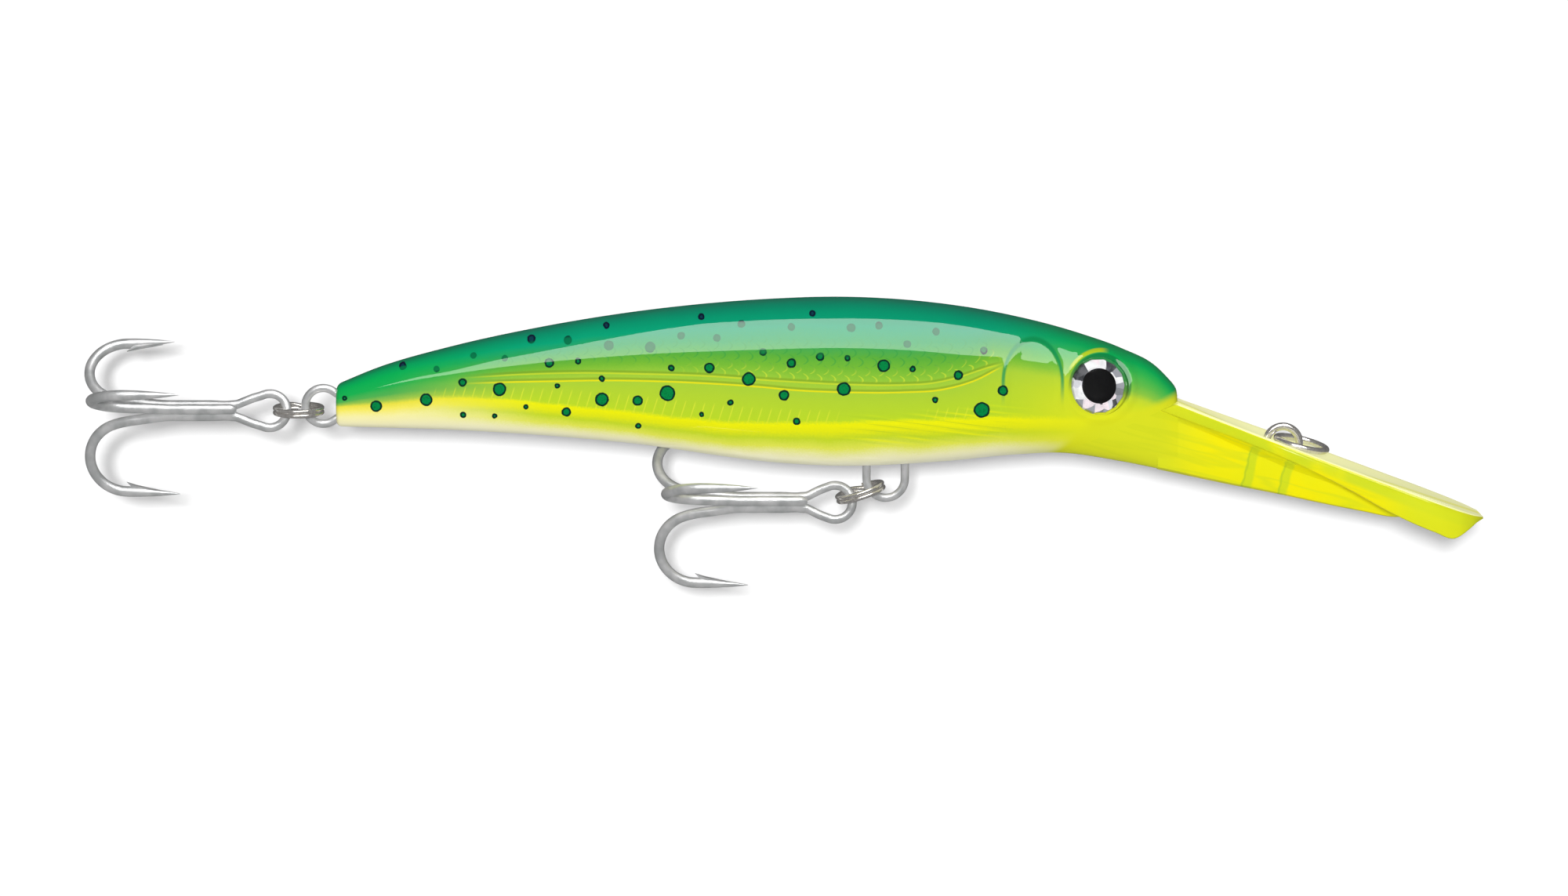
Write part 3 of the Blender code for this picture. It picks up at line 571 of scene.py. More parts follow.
def flank_marks(n, painted, station, height, z):
    """Scales above the lateral line, its two lines, ribs below it, and fin rays behind the cheek."""
    above_lower, above_upper = n.pair("lines")
    above_rib, above_band = n.pair("ribs")
    ends = n.times(n.step(station, 22.0, 34.0), n.step(station, 127.0, 124.0))

    # Scale edges: staggered arcs, dark near the back and pale near the lateral line.
    row = n.over(above_upper, 1.7)
    odd = n.times(n.math("MODULO", n.math("FLOOR", n.plus(row, 40.0)), 2.0), 0.5)
    cell = n.minus(n.math("FRACT", n.plus(n.over(station, 2.6), odd)), 0.5)
    rise_in_cell = n.minus(n.math("FRACT", row), 0.5)
    bend = n.times(rise_in_cell, rise_in_cell, 1.3)
    arc = n.step(n.absolute(n.plus(cell, bend)), 0.10, 0.01)
    scale_mask = n.times(ends, n.step(above_upper, 0.2, 0.8))
    dark = n.times(arc, scale_mask, n.step(above_upper, 1.4, 3.4), n.step(height, 0.84, 0.70))
    pale = n.times(arc, scale_mask, n.step(above_upper, 3.8, 1.2), n.step(station, 60.0, 80.0))
    painted = n.paint(painted, (44, 150, 66), dark, 0.55)
    painted = n.paint(painted, (222, 232, 60), pale, 0.5)

    # The two lines, each with its shaded side.
    for away, bright, share in ((above_lower, (240, 224, 14), 0.8), (above_upper, (226, 226, 40), 0.5)):
        line = n.times(ends, n.step(n.absolute(away), 0.24, 0.06))
        shade = n.times(ends, n.near(away, 0.38, 0.34, 0.05))
        painted = n.paint(painted, (118, 142, 22), shade, 0.5)
        painted = n.paint(painted, bright, line, share)

    # Ribs lean forward and get shorter towards the head.
    lean = n.minus(station, n.times(z, 0.32))
    rib = n.absolute(n.minus(n.math("FRACT", n.over(lean, 1.85)), 0.5))
    rib = n.times(n.step(rib, 0.10, 0.02), n.step(above_rib, 0.4, -0.6), n.step(above_band, -0.3, 0.6))
    rib = n.times(rib, n.step(station, 16.0, 24.0), n.step(station, 124.0, 118.0))
    gap = n.most(n.step(station, 98.0, 92.0), n.step(station, 111.0, 114.0))
    painted = n.paint(painted, (230, 232, 60), rib, gap, 0.5)

    # Fin rays: long pale streaks that fan down and back from the cheek.
    fan = n.plus(z, n.times(n.minus(station, 96.0), 0.09))
    wavy = n.times(n.sine(n.times(station, 0.11)), 0.5)
    ray = n.sine(n.times(n.plus(fan, wavy), 5.2))
    fin = n.times(n.step(station, 94.0, 104.0), n.step(station, 134.0, 120.0))
    fin = n.times(fin, n.step(height, 0.10, 0.16), n.step(height, 0.36, 0.27))
    stretched = n.vector(n.times(station, 0.08), 0.0, n.times(fan, 0.9))
    fin = n.times(fin, n.step(n.noise(stretched, 1.0, 1.0), 0.38, 0.60))
    painted = n.paint(painted, (240, 240, 14), n.step(ray, 0.1, 0.9), fin, 0.55)
    painted = n.paint(painted, (150, 184, 40), n.step(ray, -0.75, -1.0), fin, 0.35)

    # A green line follows the gill cover's arch.
    gs, gz, gw, gh = GILL
    across = n.math("POWER", n.over(n.minus(station, gs), gw), 2.0)
    up = n.math("POWER", n.over(n.most(n.minus(z, gz), 0.0), gh), 2.0)
    shape = n.math("SQRT", n.plus(across, up))
    arch = n.near(shape, 1.08, 0.10, 0.02)
    arch = n.times(arch, n.step(z, 7.5, 13.5))
    painted = n.paint(painted, (6, 150, 84), arch, 0.85)

    # Round the eye: painted shade as a dark line in the corner of the socket, and a yellow arc on the upper
    # rear side.
    distance, turn = n.polar(n.minus(n.plus(station, TAIL_X), EYE_CENTRE[0]), n.minus(z, EYE_CENTRE[1]))
    corner = n.times(n.step(distance, 6.2, 5.8), n.step(height, 0.40, 0.55))
    painted = n.paint(painted, (4, 110, 62), corner, 0.7)
    arc = n.near(distance, 6.5, 0.5, 0.2)
    arc = n.times(arc, n.step(turn, 1.25, 1.55), n.step(turn, 2.75, 2.45))
    return n.paint(painted, (206, 222, 26), arc, 0.85)


def spots(n, painted, place, x, z, height):
    """Round green spots with a dark, slightly ragged rim. They are darker and bluer on the back."""
    ragged = n.vector_math("SCALE", n.noise(place, 0.9, 2.0, "Color"), RAGGED)
    moved = n.vector_math("ADD", n.vector(x, 0.0, z), ragged)
    plane = n.vector_math("MULTIPLY", moved, (1.0, 0.0, 1.0))
    nearest = None
    for station, up, radius in SPOTS:
        # The list holds the places as seen on the middle plane, and the flank is nearer to the camera.
        near = float(curve_value(HALF_WIDTH, station))
        across = TAIL_X + station
        across -= (across - VIEW_CENTRE[0]) * near / VIEW_DISTANCE
        up += near * math.tan(VIEW_ELEVATION)
        away = n.vector_math("DISTANCE", plane, (across + RAGGED / 2, 0.0, up + RAGGED / 2))
        outside = n.minus(away, radius)
        nearest = outside if nearest is None else n.math("MINIMUM", nearest, outside)
    back = n.step(height, 0.80, 0.92)
    middle = n.mix(back, linear(0, 132, 66), linear(8, 66, 80))
    rim = n.mix(back, linear(2, 44, 36), linear(4, 24, 50))
    grain = n.noise(place, 4.0, 1.0)
    middle = n.mix(n.times(n.step(grain, 0.5, 0.7), 0.45), middle, rim)
    inside = n.mix(n.step(nearest, -0.42, -0.26), middle, rim)
    # Spots on the upper flank, where the highlight band lies, are painted paler and have no rim: a painted
    # share of the highlight over them.
    upper = n.times(n.step(height, 0.68, 0.73), n.step(height, 0.905, 0.865))
    inside = n.paint(inside, (0, 110, 68), upper, 0.9)
    share = n.minus(1.0, n.times(upper, 0.15))
    return n.mix(n.times(n.step(nearest, 0.07, -0.03), share), painted, inside)


def clear_lip():
    """Fluorescent yellow polycarbonate. Its edges and the bores inside it look greener. Its top face carries
    a painted reflection, and the whole lip a painted glow.
    """
    n = Nodes("clear_lip")
    place, x, y, z = n.millimetres()
    along = n.minus(x, NOSE[0])
    below = n.minus(n.plus(n.times(along, BLADE_SLOPE), NOSE[1]), z)
    cloud = n.noise(place, 0.07, 2.0)
    body = n.mix(n.step(cloud, 0.40, 0.62), linear(247, 236, 4), linear(238, 234, 14))
    # A greener band under the blade's top edge: partly the blade's thickness seen from the side, and partly
    # painted shade of its curved edge.
    edge = n.times(n.step(below, 0.3, 0.7), n.step(below, 3.3, 2.1))
    edge = n.times(edge, n.step(n.noise(place, 0.12, 1.0), 0.15, 0.42))
    tint = n.paint(body, (204, 219, 36), edge, 0.9)
    tint = n.paint(tint, (218, 226, 34), n.step(x, 14.0, 26.0), 0.8)
    tint = n.paint(tint, (219, 225, 34), n.step(x, -12.0, -25.0))
    # Streaks run along the lip from the head, where the plastic flowed.
    fan = n.plus(below, n.times(along, 0.10))
    streak = n.noise(n.vector(n.times(along, 0.03), 0.0, n.times(fan, 0.30)), 1.0, 2.0)
    streak = n.near(streak, 0.5, 0.05, 0.0)
    streak = n.times(streak, n.step(below, 1.2, 3.0), n.step(x, 24.0, 12.0))
    tint = n.paint(tint, (208, 218, 32), streak, 0.45)
    # Bores for the line tie's two legs, as they look through the clear plastic.
    c = math.cos(LEG_LOOK_TILT)
    s = math.sin(LEG_LOOK_TILT)
    across = n.minus(n.times(x, c), n.times(z, s))
    wobble = n.times(n.minus(n.noise(place, 0.5, 1.0), 0.5), 0.8)
    across = n.plus(across, wobble)
    for leg in LEG_LOOK:
        off = n.minus(across, leg)
        near = n.times(n.step(n.absolute(off), 1.25, 0.6), n.step(below, 2.2, 3.2))
        tint = n.paint(tint, (192, 216, 40), near, 0.62)
        side = n.times(n.step(n.absolute(n.plus(off, 0.7)), 0.3, 0.08), n.step(below, 3.0, 5.0))
        tint = n.paint(tint, (168, 196, 40), side, 0.5)
    # Painted reflection: the upward-facing top face is painted pale, less so along its middle groove, and
    # glows more, as if it mirrored the white surroundings. The whole lip also has a painted glow in its own
    # colour, and its base colour is dimmed to make room for that glow.
    upward = n.parts(n.add("ShaderNodeTexCoord").outputs["Normal"])[2]
    top = n.times(n.step(upward, 0.55, 0.8), n.step(x, -21.5, -20.0))
    groove = n.step(n.absolute(y), 3.2, 1.6)
    face = n.mix(n.times(groove, 0.55), linear(250, 250, 190), linear(236, 234, 60))
    tint = n.mix(n.times(top, 0.9), tint, face)
    shaded = n.mix(1.0, tint, (0.82, 0.82, 0.82, 1.0), "MULTIPLY")
    n.set(Base_Color=shaded, Roughness=0.12, IOR=1.45, Specular_IOR_Level=0.35, Transmission_Weight=0.04)
    n.set(Emission_Color=tint, Emission_Strength=n.plus(n.times(top, 0.36), 0.18))
    n.bump(n.noise(place, 0.35, 1.0), 0.15, 0.2)
    return n.material


def hook_metal():
    """Matte tin plate with a fine grain and softer patches."""
    n = Nodes("hook_metal")
    place = n.millimetres()[0]
    grain = n.noise(place, 3.5, 4.0)
    patch = n.noise(place, 0.35, 2.0)
    tint = n.mix(n.step(patch, 0.3, 0.7), linear(190, 192, 192), linear(222, 222, 222))
    rough = n.plus(n.times(grain, 0.16), 0.28)
    n.set(Base_Color=tint, Roughness=rough, Metallic=0.5)
    n.bump(grain, 0.05, 0.8)
    return n.material


def ring_metal():
    """Bright nickel, a little uneven along the wire."""
    n = Nodes("ring_metal")
    place = n.millimetres()[0]
    marks = n.noise(place, 2.2, 3.0)
    tint = n.mix(n.step(marks, 0.35, 0.65), linear(208, 204, 198), linear(228, 225, 221))
    rough = n.plus(n.times(marks, 0.06), 0.14)
    n.set(Base_Color=tint, Roughness=rough, Metallic=0.75)
    return n.material


def eye_foil():
    """Silver foil in crisp radial facets with painted reflections: most facets painted bright and a few dark
    or rosy, as they would mirror their surroundings.
    """
    n = Nodes("eye_foil")
    place, x, _, z = n.millimetres()
    distance, turn = n.polar(n.minus(x, EYE_CENTRE[0]), n.minus(z, EYE_CENTRE[1]))
    cells = n.add("ShaderNodeTexVoronoi")
    cosine = n.math("COSINE", turn)
    rays = n.vector(n.times(cosine, 2.3), n.times(n.sine(turn), 2.3), n.times(distance, 0.4))
    n.plug(rays, cells.inputs["Vector"])
    cells.inputs["Scale"].default_value = 1.0
    # Painted reflections: each facet cell takes a dark, bright or rosy colour.
    tint = n.ramp(n.parts(cells.outputs["Color"])[0], FOIL_PAINTED_REFLECTIONS, "CONSTANT")
    shade = n.step(n.noise(place, 0.8, 1.0), 0.30, 0.62)
    tint = n.paint(tint, (150, 152, 158), n.minus(1.0, shade), 0.25)
    n.set(Base_Color=tint, Roughness=0.25, Metallic=0.1)
    n.bump(n.noise(place, 1.5, 2.0), 0.02, 0.4)
    return n.material


def eye_black():
    """Gloss black pupil with a trace of grain."""
    n = Nodes("eye_black")
    place = n.millimetres()[0]
    grain = n.noise(place, 2.0, 2.0)
    tint = n.mix(grain, linear(5, 5, 6), linear(14, 14, 15))
    n.set(Base_Color=tint, Roughness=0.35, Specular_IOR_Level=0.1)
    return n.material


def eye_clear():
    """The clear dome, with slightly uneven roughness."""
    n = Nodes("eye_clear")
    place = n.millimetres()[0]
    rough = n.times(n.noise(place, 0.6, 1.0), 0.05)
    n.set(Base_Color=linear(252, 253, 253), Roughness=rough, IOR=1.2, Transmission_Weight=1.0)
    return n.material


def scale_film():
    """Inner film with an embossed diamond scale pattern."""
    n = Nodes("scale_film")
    place, x, _, z = n.millimetres()
    one = n.sine(n.times(n.plus(x, z), 2.6))
    two = n.sine(n.times(n.minus(x, z), 2.6))
    net = n.most(one, two)
    tint = n.mix(n.step(net, 0.8, 0.98), linear(150, 196, 60), linear(215, 235, 110))
    n.set(Base_Color=tint, Roughness=0.25, Metallic=0.5)
    n.bump(net, 0.05, 0.5)
    return n.material


def cast_metal():
    """Grey cast ballast."""
    n = Nodes("cast_metal")
    place = n.millimetres()[0]
    grain = n.noise(place, 1.2, 4.0)
    tint = n.mix(grain, linear(96, 98, 102), linear(140, 142, 146))
    n.set(Base_Color=tint, Roughness=0.55, Metallic=0.8)
    n.bump(grain, 0.08, 0.5)
    return n.material


def paint_over(node, material):
    """Gives a CAD node a better material."""
    mesh = frame["nodes"][node].data
    mesh.materials.clear()
    mesh.materials.append(material)


# ---------------------------------------------------------------- body

def flank_points(station, angles, side, inset=0.0):
    """Points of one body section. Angles go from 90 at the back to -90 at the belly."""
    top = curve_value(BACK, station) - inset
    bottom = curve_value(BELLY, station) + inset
    width = curve_value(HALF_WIDTH, station) - inset
    middle = (top + bottom) / 2
    half_height = (top - bottom) / 2
    power = 2 / SECTION_POWER
    c = np.cos(np.radians(angles))
    s = np.sin(np.radians(angles))
    y = side * width * np.abs(c) ** power
    z = middle + half_height * np.sign(s) * np.abs(s) ** power
    return np.stack([np.full_like(y, TAIL_X + station), y, z], 1)


def flank_y(x, z):
    """Half width of the body at a place on its flank."""
    top = float(curve_value(BACK, x - TAIL_X))
    bottom = float(curve_value(BELLY, x - TAIL_X))
    high = min(abs(2 * z - top - bottom) / (top - bottom), 1.0)
    return float(curve_value(HALF_WIDTH, x - TAIL_X)) * (1 - high**SECTION_POWER) ** (1 / SECTION_POWER)


def rise(value, low, high):
    """A smooth step for numbers or arrays."""
    t = np.clip((value - low) / (high - low), 0, 1)
    return t * t * (3 - 2 * t)


# The lateral line is two moulded lines. Ribs hang below the lower one and end at the bright band.
LOWER_LINE = [(14, 11.2), (27, 12.0), (42, 12.5), (51, 12.7), (70, 12.3), (80, 11.7), (88, 11.0), (96, 10.7),
              (108, 10.7), (114.5, 11.1), (121, 12.8), (127, 15.7), (140, 18.0)]
UPPER_LINE = [(14, 12.4), (25, 13.0), (35, 13.7), (47, 14.1), (58, 14.0), (70, 13.7), (84, 12.8),
              (96, 12.2), (108, 12.1), (113, 12.4), (117, 13.2), (124, 15.4), (140, 18.5)]
BRIGHT_BAND = [(0, 7.2), (10, 7.9), (20, 9.0), (32, 8.9), (42, 7.8), (51, 7.0), (61, 6.0), (70, 5.0),
               (94, 4.7), (112, 5.2), (130, 5.7), (142, 5.4), (160, 4.4)]
RIB_TOP = [(14, 10.6), (27, 11.2), (45, 10.8), (60, 9.6), (70, 8.5), (85, 7.4), (110, 7.4), (125, 8.2)]
GILL = (132.2, 12.6, 5.2, 7.3)  # middle station and height, half width, and rise of the arch


def relief(station, z):
    """How far the moulded detail stands out of the flank, in millimetres."""
    low = curve_value(LOWER_LINE, station)
    high = curve_value(UPPER_LINE, station)
    within = float(rise(station, 16, 30) * rise(-station, -128.0, -125.0))
    plate = 0.05 * rise(z, low - 0.1, low + 0.5) * (1 - rise(z, high + 2, high + 8))
    ledge = 0.03 * rise(z, high - 0.2, high + 0.3) * (1 - rise(z, high + 1, high + 7))
    gs, gz, gw, gh = GILL
    up = np.clip(z - gz, 0, None) / gh
    shape = np.sqrt(((station - gs) / gw) ** 2 + up**2)
    fade = rise(z, 4.5, 12.0)
    ridge = np.exp(-(((shape - 1.0) * gw / 0.55) ** 2))
    inner = 1 - rise(shape, 0.88, 1.0)
    gill = fade * (0.34 * ridge + 0.14 * inner)
    ex, ez = EYE_CENTRE
    distance = np.hypot(station + TAIL_X - ex, z - ez)
    rim = 0.42 * np.exp(-(((distance - 6.35) / 0.75) ** 2))
    return (plate + ledge) * within + gill + rim


def body_half(side, angles, stations):
    """Sections of one half of the body, with its rounded ends and moulded relief."""
    rings = []
    for station in stations:
        edge = min(station, BODY_LENGTH - station)
        short = 1 - min(edge / EDGE_ROUND, 1.0)
        inset = EDGE_ROUND * (1 - math.sqrt(max(0.0, 1 - short**2)))
        points = flank_points(station, angles, side, inset)
        lifted = relief(station, points[:, 2]) * np.abs(np.cos(np.radians(angles))) ** 0.5
        points[:, 1] += side * lifted * rise(edge, 0.0, 4.0)
        points[:, 1] = side * np.maximum(side * points[:, 1], SKIN_GAP)
        points[0, 1] = side * SKIN_GAP
        points[-1, 1] = side * SKIN_GAP
        rings.append(points)
    return rings


def joint_line(x):
    """Height of the joint between the head and the lip."""
    return CHIN[1] + JOINT_SLOPE * (x - CHIN[0])


def side_cutter(name, outline):
    """A solid across the whole lure with an outline in its side view."""
    return loft(name, [[(x, y, z) for x, z in outline] for y in (-25.0, 25.0)])


def chin_wedge(name):
    """Everything below and ahead of the joint between the head and the lip."""
    back = CHIN[0] - 6
    front = NOSE[0] + 10
    outline = [(back, joint_line(back)), (front, joint_line(front)), (front, -20), (back, -20)]
    return side_cutter(name, outline)


def eye_axes(side):
    """Middle of an eye on the flank, and its outward direction."""
    x, z = EYE_CENTRE
    level = math.cos(EYE_PITCH)
    out = np.array([math.sin(EYE_YAW) * level, side * math.cos(EYE_YAW) * level, math.sin(EYE_PITCH)])
    return np.array([x, side * flank_y(x, z), z]), out


def stand_on_eye(obj, side, depth):
    """Turns a piece whose axis is +Z outward, and sets it at a depth below the flank."""
    centre, out = eye_axes(side)
    across = np.cross([0, 0, 1], out)
    across /= np.linalg.norm(across)
    up = np.cross(out, across)
    base = centre - out * depth
    move_points(obj, lambda p: base + across * p[0] + up * p[1] + out * p[2])


def paint_height(station, z):
    """Height up the flank on the painter's scale: 0 belly, 0.25 bright band, 0.5 lateral line, 1 back."""
    bottom = curve_value(BELLY, station)
    top = curve_value(BACK, station)
    band = curve_value(BRIGHT_BAND, station)
    line = np.minimum(curve_value(LOWER_LINE, station), bottom + (top - bottom) * 0.62)
    low = 0.25 * (z - bottom) / (band - bottom)
    middle = 0.25 + 0.25 * (z - band) / (line - band)
    high = 0.5 + 0.5 * (z - line) / (top - line)
    return np.where(z < band, low, np.where(z < line, middle, high))


def paint_maps(obj):
    """Maps that the paint reads: station and painter's height, the two lines, and the rib band."""
    mesh = obj.data
    points = np.empty(len(mesh.vertices) * 3)
    mesh.vertices.foreach_get("co", points)
    points = points.reshape(-1, 3) / MM
    station = points[:, 0] - TAIL_X
    z = points[:, 2]
    corners = np.empty(len(mesh.loops), np.int32)
    mesh.loops.foreach_get("vertex_index", corners)
    for name, u, v in (("girth", station / BODY_LENGTH, np.clip(paint_height(station, z), 0, 1)),
                       ("lines", z - curve_value(LOWER_LINE, station), z - curve_value(UPPER_LINE, station)),
                       ("ribs", z - curve_value(RIB_TOP, station), z - curve_value(BRIGHT_BAND, station))):
        layer = mesh.uv_layers.get(name) or mesh.uv_layers.new(name=name)
        layer.data.foreach_set("uv", np.stack([u, v], 1)[corners].ravel())


def body_shell(label, side, material):
    """One hollow half of the body."""
    angles = np.linspace(90, -90, 81)
    stations = np.concatenate([np.array([0, 0.08, 0.25, 0.5, 0.9]), np.arange(1.4, 158.9, 0.5),
                               np.array([159.1, 159.5, 159.75, 159.92, 160.0])])
    half = loft(f"visual_shell_{label}", body_half(side, angles, stations), 32)
    hollow = []
    for station in np.linspace(*HOLLOW, 40):
        ring = flank_points(station, np.linspace(90, -90, 15), side, WALL)
        ring[0, 1] = -side
        ring[-1, 1] = -side
        hollow.append(ring)
    boolean(half, loft("hollow", hollow), "DIFFERENCE")
    boolean(half, chin_wedge("chin_cut"), "DIFFERENCE")
    socket = turned("socket", [(0, -0.2), (SOCKET, -0.2), (SOCKET, 6.0), (0, 6.0)], 96)
    stand_on_eye(socket, side, SOCKET_DEPTH)
    boolean(half, socket, "DIFFERENCE")
    finish_surface(half, 32)
    paint_maps(half)
    dress(half, "root", f"body_shell_{label}", material)


# ---------------------------------------------------------------- lip

def blade_ring(x):
    """One section of the lip ahead of the head: dished blade, side skirts and keel."""
    top = NOSE[1] + BLADE_SLOPE * (x - NOSE[0])
    width = float(curve_value(BLADE_HALF_WIDTH, x))
    dish = float(curve_value(BLADE_DISH, x))
    depth = float(curve_value(SKIRT_DEPTH, x))
    skirt = top - depth
    bevel = min(1.0, depth / 2.2)
    under = max(top - BLADE_THICK, skirt + 0.05)
    centre_under = under - dish
    keel_width = float(curve_value(KEEL_HALF_WIDTH, x))
    keel = min(float(curve_value(KEEL_BOTTOM, x)), centre_under - 0.5 * keel_width)
    room = width - keel_width
    half = [
        (width * 0.15, top - dish * 0.97),
        (width * 0.3, top - dish * 0.88),
        (width * 0.45, top - dish * 0.75),
        (width * 0.62, top - dish * 0.5),
        (width * 0.8, top - dish * 0.22),
        (width - 1.1, top - 0.02),
        (width - 0.45, top - 0.12 * bevel),
        (width - 0.12, top - 0.4 * bevel),
        (width, top - 0.8 * bevel),
        (width, skirt + 0.5 * bevel),
        (width - min(0.12, 0.1 * room), skirt + 0.18 * bevel),
        (width - min(0.5, 0.3 * room), skirt),
        (width - min(SKIRT_THICK * 0.75, 0.5 * room), skirt),
        (width - min(SKIRT_THICK, 0.65 * room), under),
        (keel_width + min(1.0, 0.2 * room), centre_under),
        (keel_width, max(centre_under - 0.8, keel + 0.45 * keel_width + 0.05)),
        (keel_width, keel + 0.45 * keel_width),
        (keel_width * 0.86, keel + 0.18 * keel_width),
        (keel_width * 0.5, keel + 0.04 * keel_width),
    ]
    ring = [(x, 0.0, top - dish)]
    ring += [(x, y, z) for y, z in half]
    ring.append((x, 0.0, keel))
    ring += [(x, -y, z) for y, z in reversed(half)]
    return ring


def diving_lip(material):
    """The clear lip, with the bore that its wire lies in."""
    angles = np.linspace(90, -90, 41)
    rings = []
    for station in np.arange(128.0, 160.1, 1.0):
        right = flank_points(station, angles, -1.0)
        left = flank_points(station, angles, 1.0)
        right[0, 1] = right[-1, 1] = 0.0
        rings.append(np.concatenate([right, left[-2:0:-1]]))
    lip = loft("visual_lip", rings)
    boolean(lip, chin_wedge("chin_keep"), "INTERSECT")
    stations = np.concatenate([np.arange(BLADE_START, 31.0, 0.8), np.linspace(31.2, BLADE_TIP, 14)])
    blade = loft("blade", [blade_ring(x) for x in stations])
    back = CHIN[0] - 6
    front = NOSE[0]
    head_zone = [(back, joint_line(back)), (front, joint_line(front)), (front, 30), (back, 30)]
    boolean(blade, side_cutter("head_zone", head_zone), "DIFFERENCE")
    boolean(lip, blade, "UNION")
    tang = loft("tang", [[(x, y, z) for x, z in TANG] for y in (-TANG_HALF_WIDTH, TANG_HALF_WIDTH)])
    boolean(lip, tang, "UNION")
    points = tie_points()
    boolean(lip, tube("tie_bore", points, [TIE_WIRE + BORE_PLAY] * len(points), 16), "DIFFERENCE")
    finish_surface(lip, 35)
    dress(lip, "root", "diving_lip", material)


# ---------------------------------------------------------------- wires and rings

def tie_points():
    """Middle line of the line tie's wire: leg, arch, leg, and the run back into the head."""
    down = np.array([-math.sin(TIE_LEG_TILT), -math.cos(TIE_LEG_TILT)])
    along = np.array([math.cos(TIE_LEG_TILT), -math.sin(TIE_LEG_TILT)])
    points = [along * TIE_ARCH + down * t for t in (TIE_LEG_LENGTH, TIE_LEG_LENGTH / 2)]
    for angle in np.linspace(0, math.pi, 25):
        points.append((along * math.cos(angle) - down * math.sin(angle)) * TIE_ARCH)
    corner = -along * TIE_ARCH + down * TIE_LEG_LENGTH
    points += [-along * TIE_ARCH + down * (TIE_LEG_LENGTH / 2), corner - down * 2.0]
    points += [corner + np.array([-0.55, 0.35]), corner + np.array([-2.4, 1.3])]
    points += [np.array([-27.0, 2.6]), np.array([-44.0, 3.9])]
    return [(p[0], 0.0, p[1]) for p in points]


def hanger_points():
    """Middle line of the hanger wire: the tail loop, the run forward, and the belly loop."""
    cx, cz = TAIL_LOOP_CENTRE
    points = [(-170.5, cz - 1.2), (-175.5, cz - 1.4)]
    for angle in np.radians(np.linspace(-45, -315, 37)):
        points.append((cx + TAIL_LOOP * math.cos(angle), cz + TAIL_LOOP * math.sin(angle)))
    points += [(-175.8, cz + 1.5), (-170, 9.4), (-150, 12.0), (-115, 13.4), (-88, 13.2)]
    bx, bz = BELLY_ARC_CENTRE
    corner_x = bx - BELLY_ARC
    for angle in np.radians([75, 50, 25, 0]):
        points.append((corner_x - 5 + 5 * math.cos(angle), 8.2 + 5 * math.sin(angle)))
    points.append((corner_x, bz + 6.0))
    for angle in np.radians(np.linspace(180, 360, 25)):
        points.append((bx + BELLY_ARC * math.cos(angle), bz + BELLY_ARC * math.sin(angle)))
    points += [(bx + BELLY_ARC, bz + 6.0), (bx + BELLY_ARC, 6.0)]
    points += [(bx + BELLY_ARC - 0.9, 7.6), (bx + BELLY_ARC - 3.0, 8.2)]
    return [(x, 0.0, z) for x, z in points]


def roll_about_x(obj, angle):
    """Lowers a flat ring's near side, before it is set in place."""
    c = math.cos(angle)
    s = math.sin(angle)
    move_points(obj, lambda p: (p[0], p[1] * c - p[2] * s, p[1] * s + p[2] * c))


def wire(name, node, points, radius, material):
    """A fine round wire in place of a CAD node."""
    obj = tube(name, points, [radius] * len(points), 24)
    dress(obj, "root", node, material)


def tow_ring(material):
    """The welded ring on the line tie."""
    steps = 120
    sides = 24
    vertices = []
    for i in range(steps):
        around = 2 * math.pi * i / steps
        for k in range(sides):
            angle = 2 * math.pi * k / sides
            r = TOW_RING + TOW_RING_WIRE * math.cos(angle)
            vertices.append((r * math.cos(around), r * math.sin(around), TOW_RING_WIRE * math.sin(angle)))
    faces = []
    for i in range(steps):
        for k in range(sides):
            a = i * sides + k
            b = i * sides + (k + 1) % sides
            c = (i + 1) % steps * sides
            faces.append((a, b, c + (k + 1) % sides, c + k))
    ring = make_object("visual_tow_ring", vertices, faces)
    roll_about_x(ring, RING_ROLL["tow"])
    x = TOW_STRAND[0] + TOW_RING * math.cos(TOW_RING_TILT)
    z = TOW_STRAND[1] + TOW_RING * math.sin(TOW_RING_TILT)
    turn_about_y(ring, TOW_RING_TILT, x, z)
    dress(ring, "tow_ring", "tow_ring", material)


def split_ring(label, strand, tilt, material):
    """Two coils of flat wire. Each end lies flat on the other coil, where the wire steps across."""
    half_wide = SPLIT_RING_HALF_RADIAL
    half_thick = SPLIT_RING_HALF_AXIAL / 2 - COIL_GAP
    section = []
    for cx, cy, start in ((1, 1, 0), (-1, 1, 90), (-1, -1, 180), (1, -1, 270)):
        for turn in np.radians(np.linspace(start, start + 90, 5)):
            section.append((cx * (half_wide - COIL_CORNER) + COIL_CORNER * math.cos(turn),
                            cy * (half_thick - COIL_CORNER) + COIL_CORNER * math.sin(turn)))
    rings = []
    level = SPLIT_RING_HALF_AXIAL / 2
    turns = 2 * 360 - COIL_SHORTFALL
    for angle in np.linspace(0, turns, 260):
        # The coil stays level, and crosses from one level to the other over a short stretch.
        share = rise(np.array(angle), turns / 2 - COIL_STEP, turns / 2 + COIL_STEP)
        height = -level + 2 * level * float(share)
        around = math.radians(angle + COIL_START)
        c = math.cos(around)
        s = math.sin(around)
        rings.append([((SPLIT_RING + r) * c, (SPLIT_RING + r) * s, height + h) for r, h in section])
    ring = loft(f"visual_{label}_split_ring", rings, 50)
    roll_about_x(ring, RING_ROLL[label])
    x = strand[0] - SPLIT_RING * math.cos(tilt)
    z = strand[1] - SPLIT_RING * math.sin(tilt)
    turn_about_y(ring, tilt, x, z)
    dress(ring, f"{label}_ring", f"{label}_split_ring", material)


# ---------------------------------------------------------------- hooks

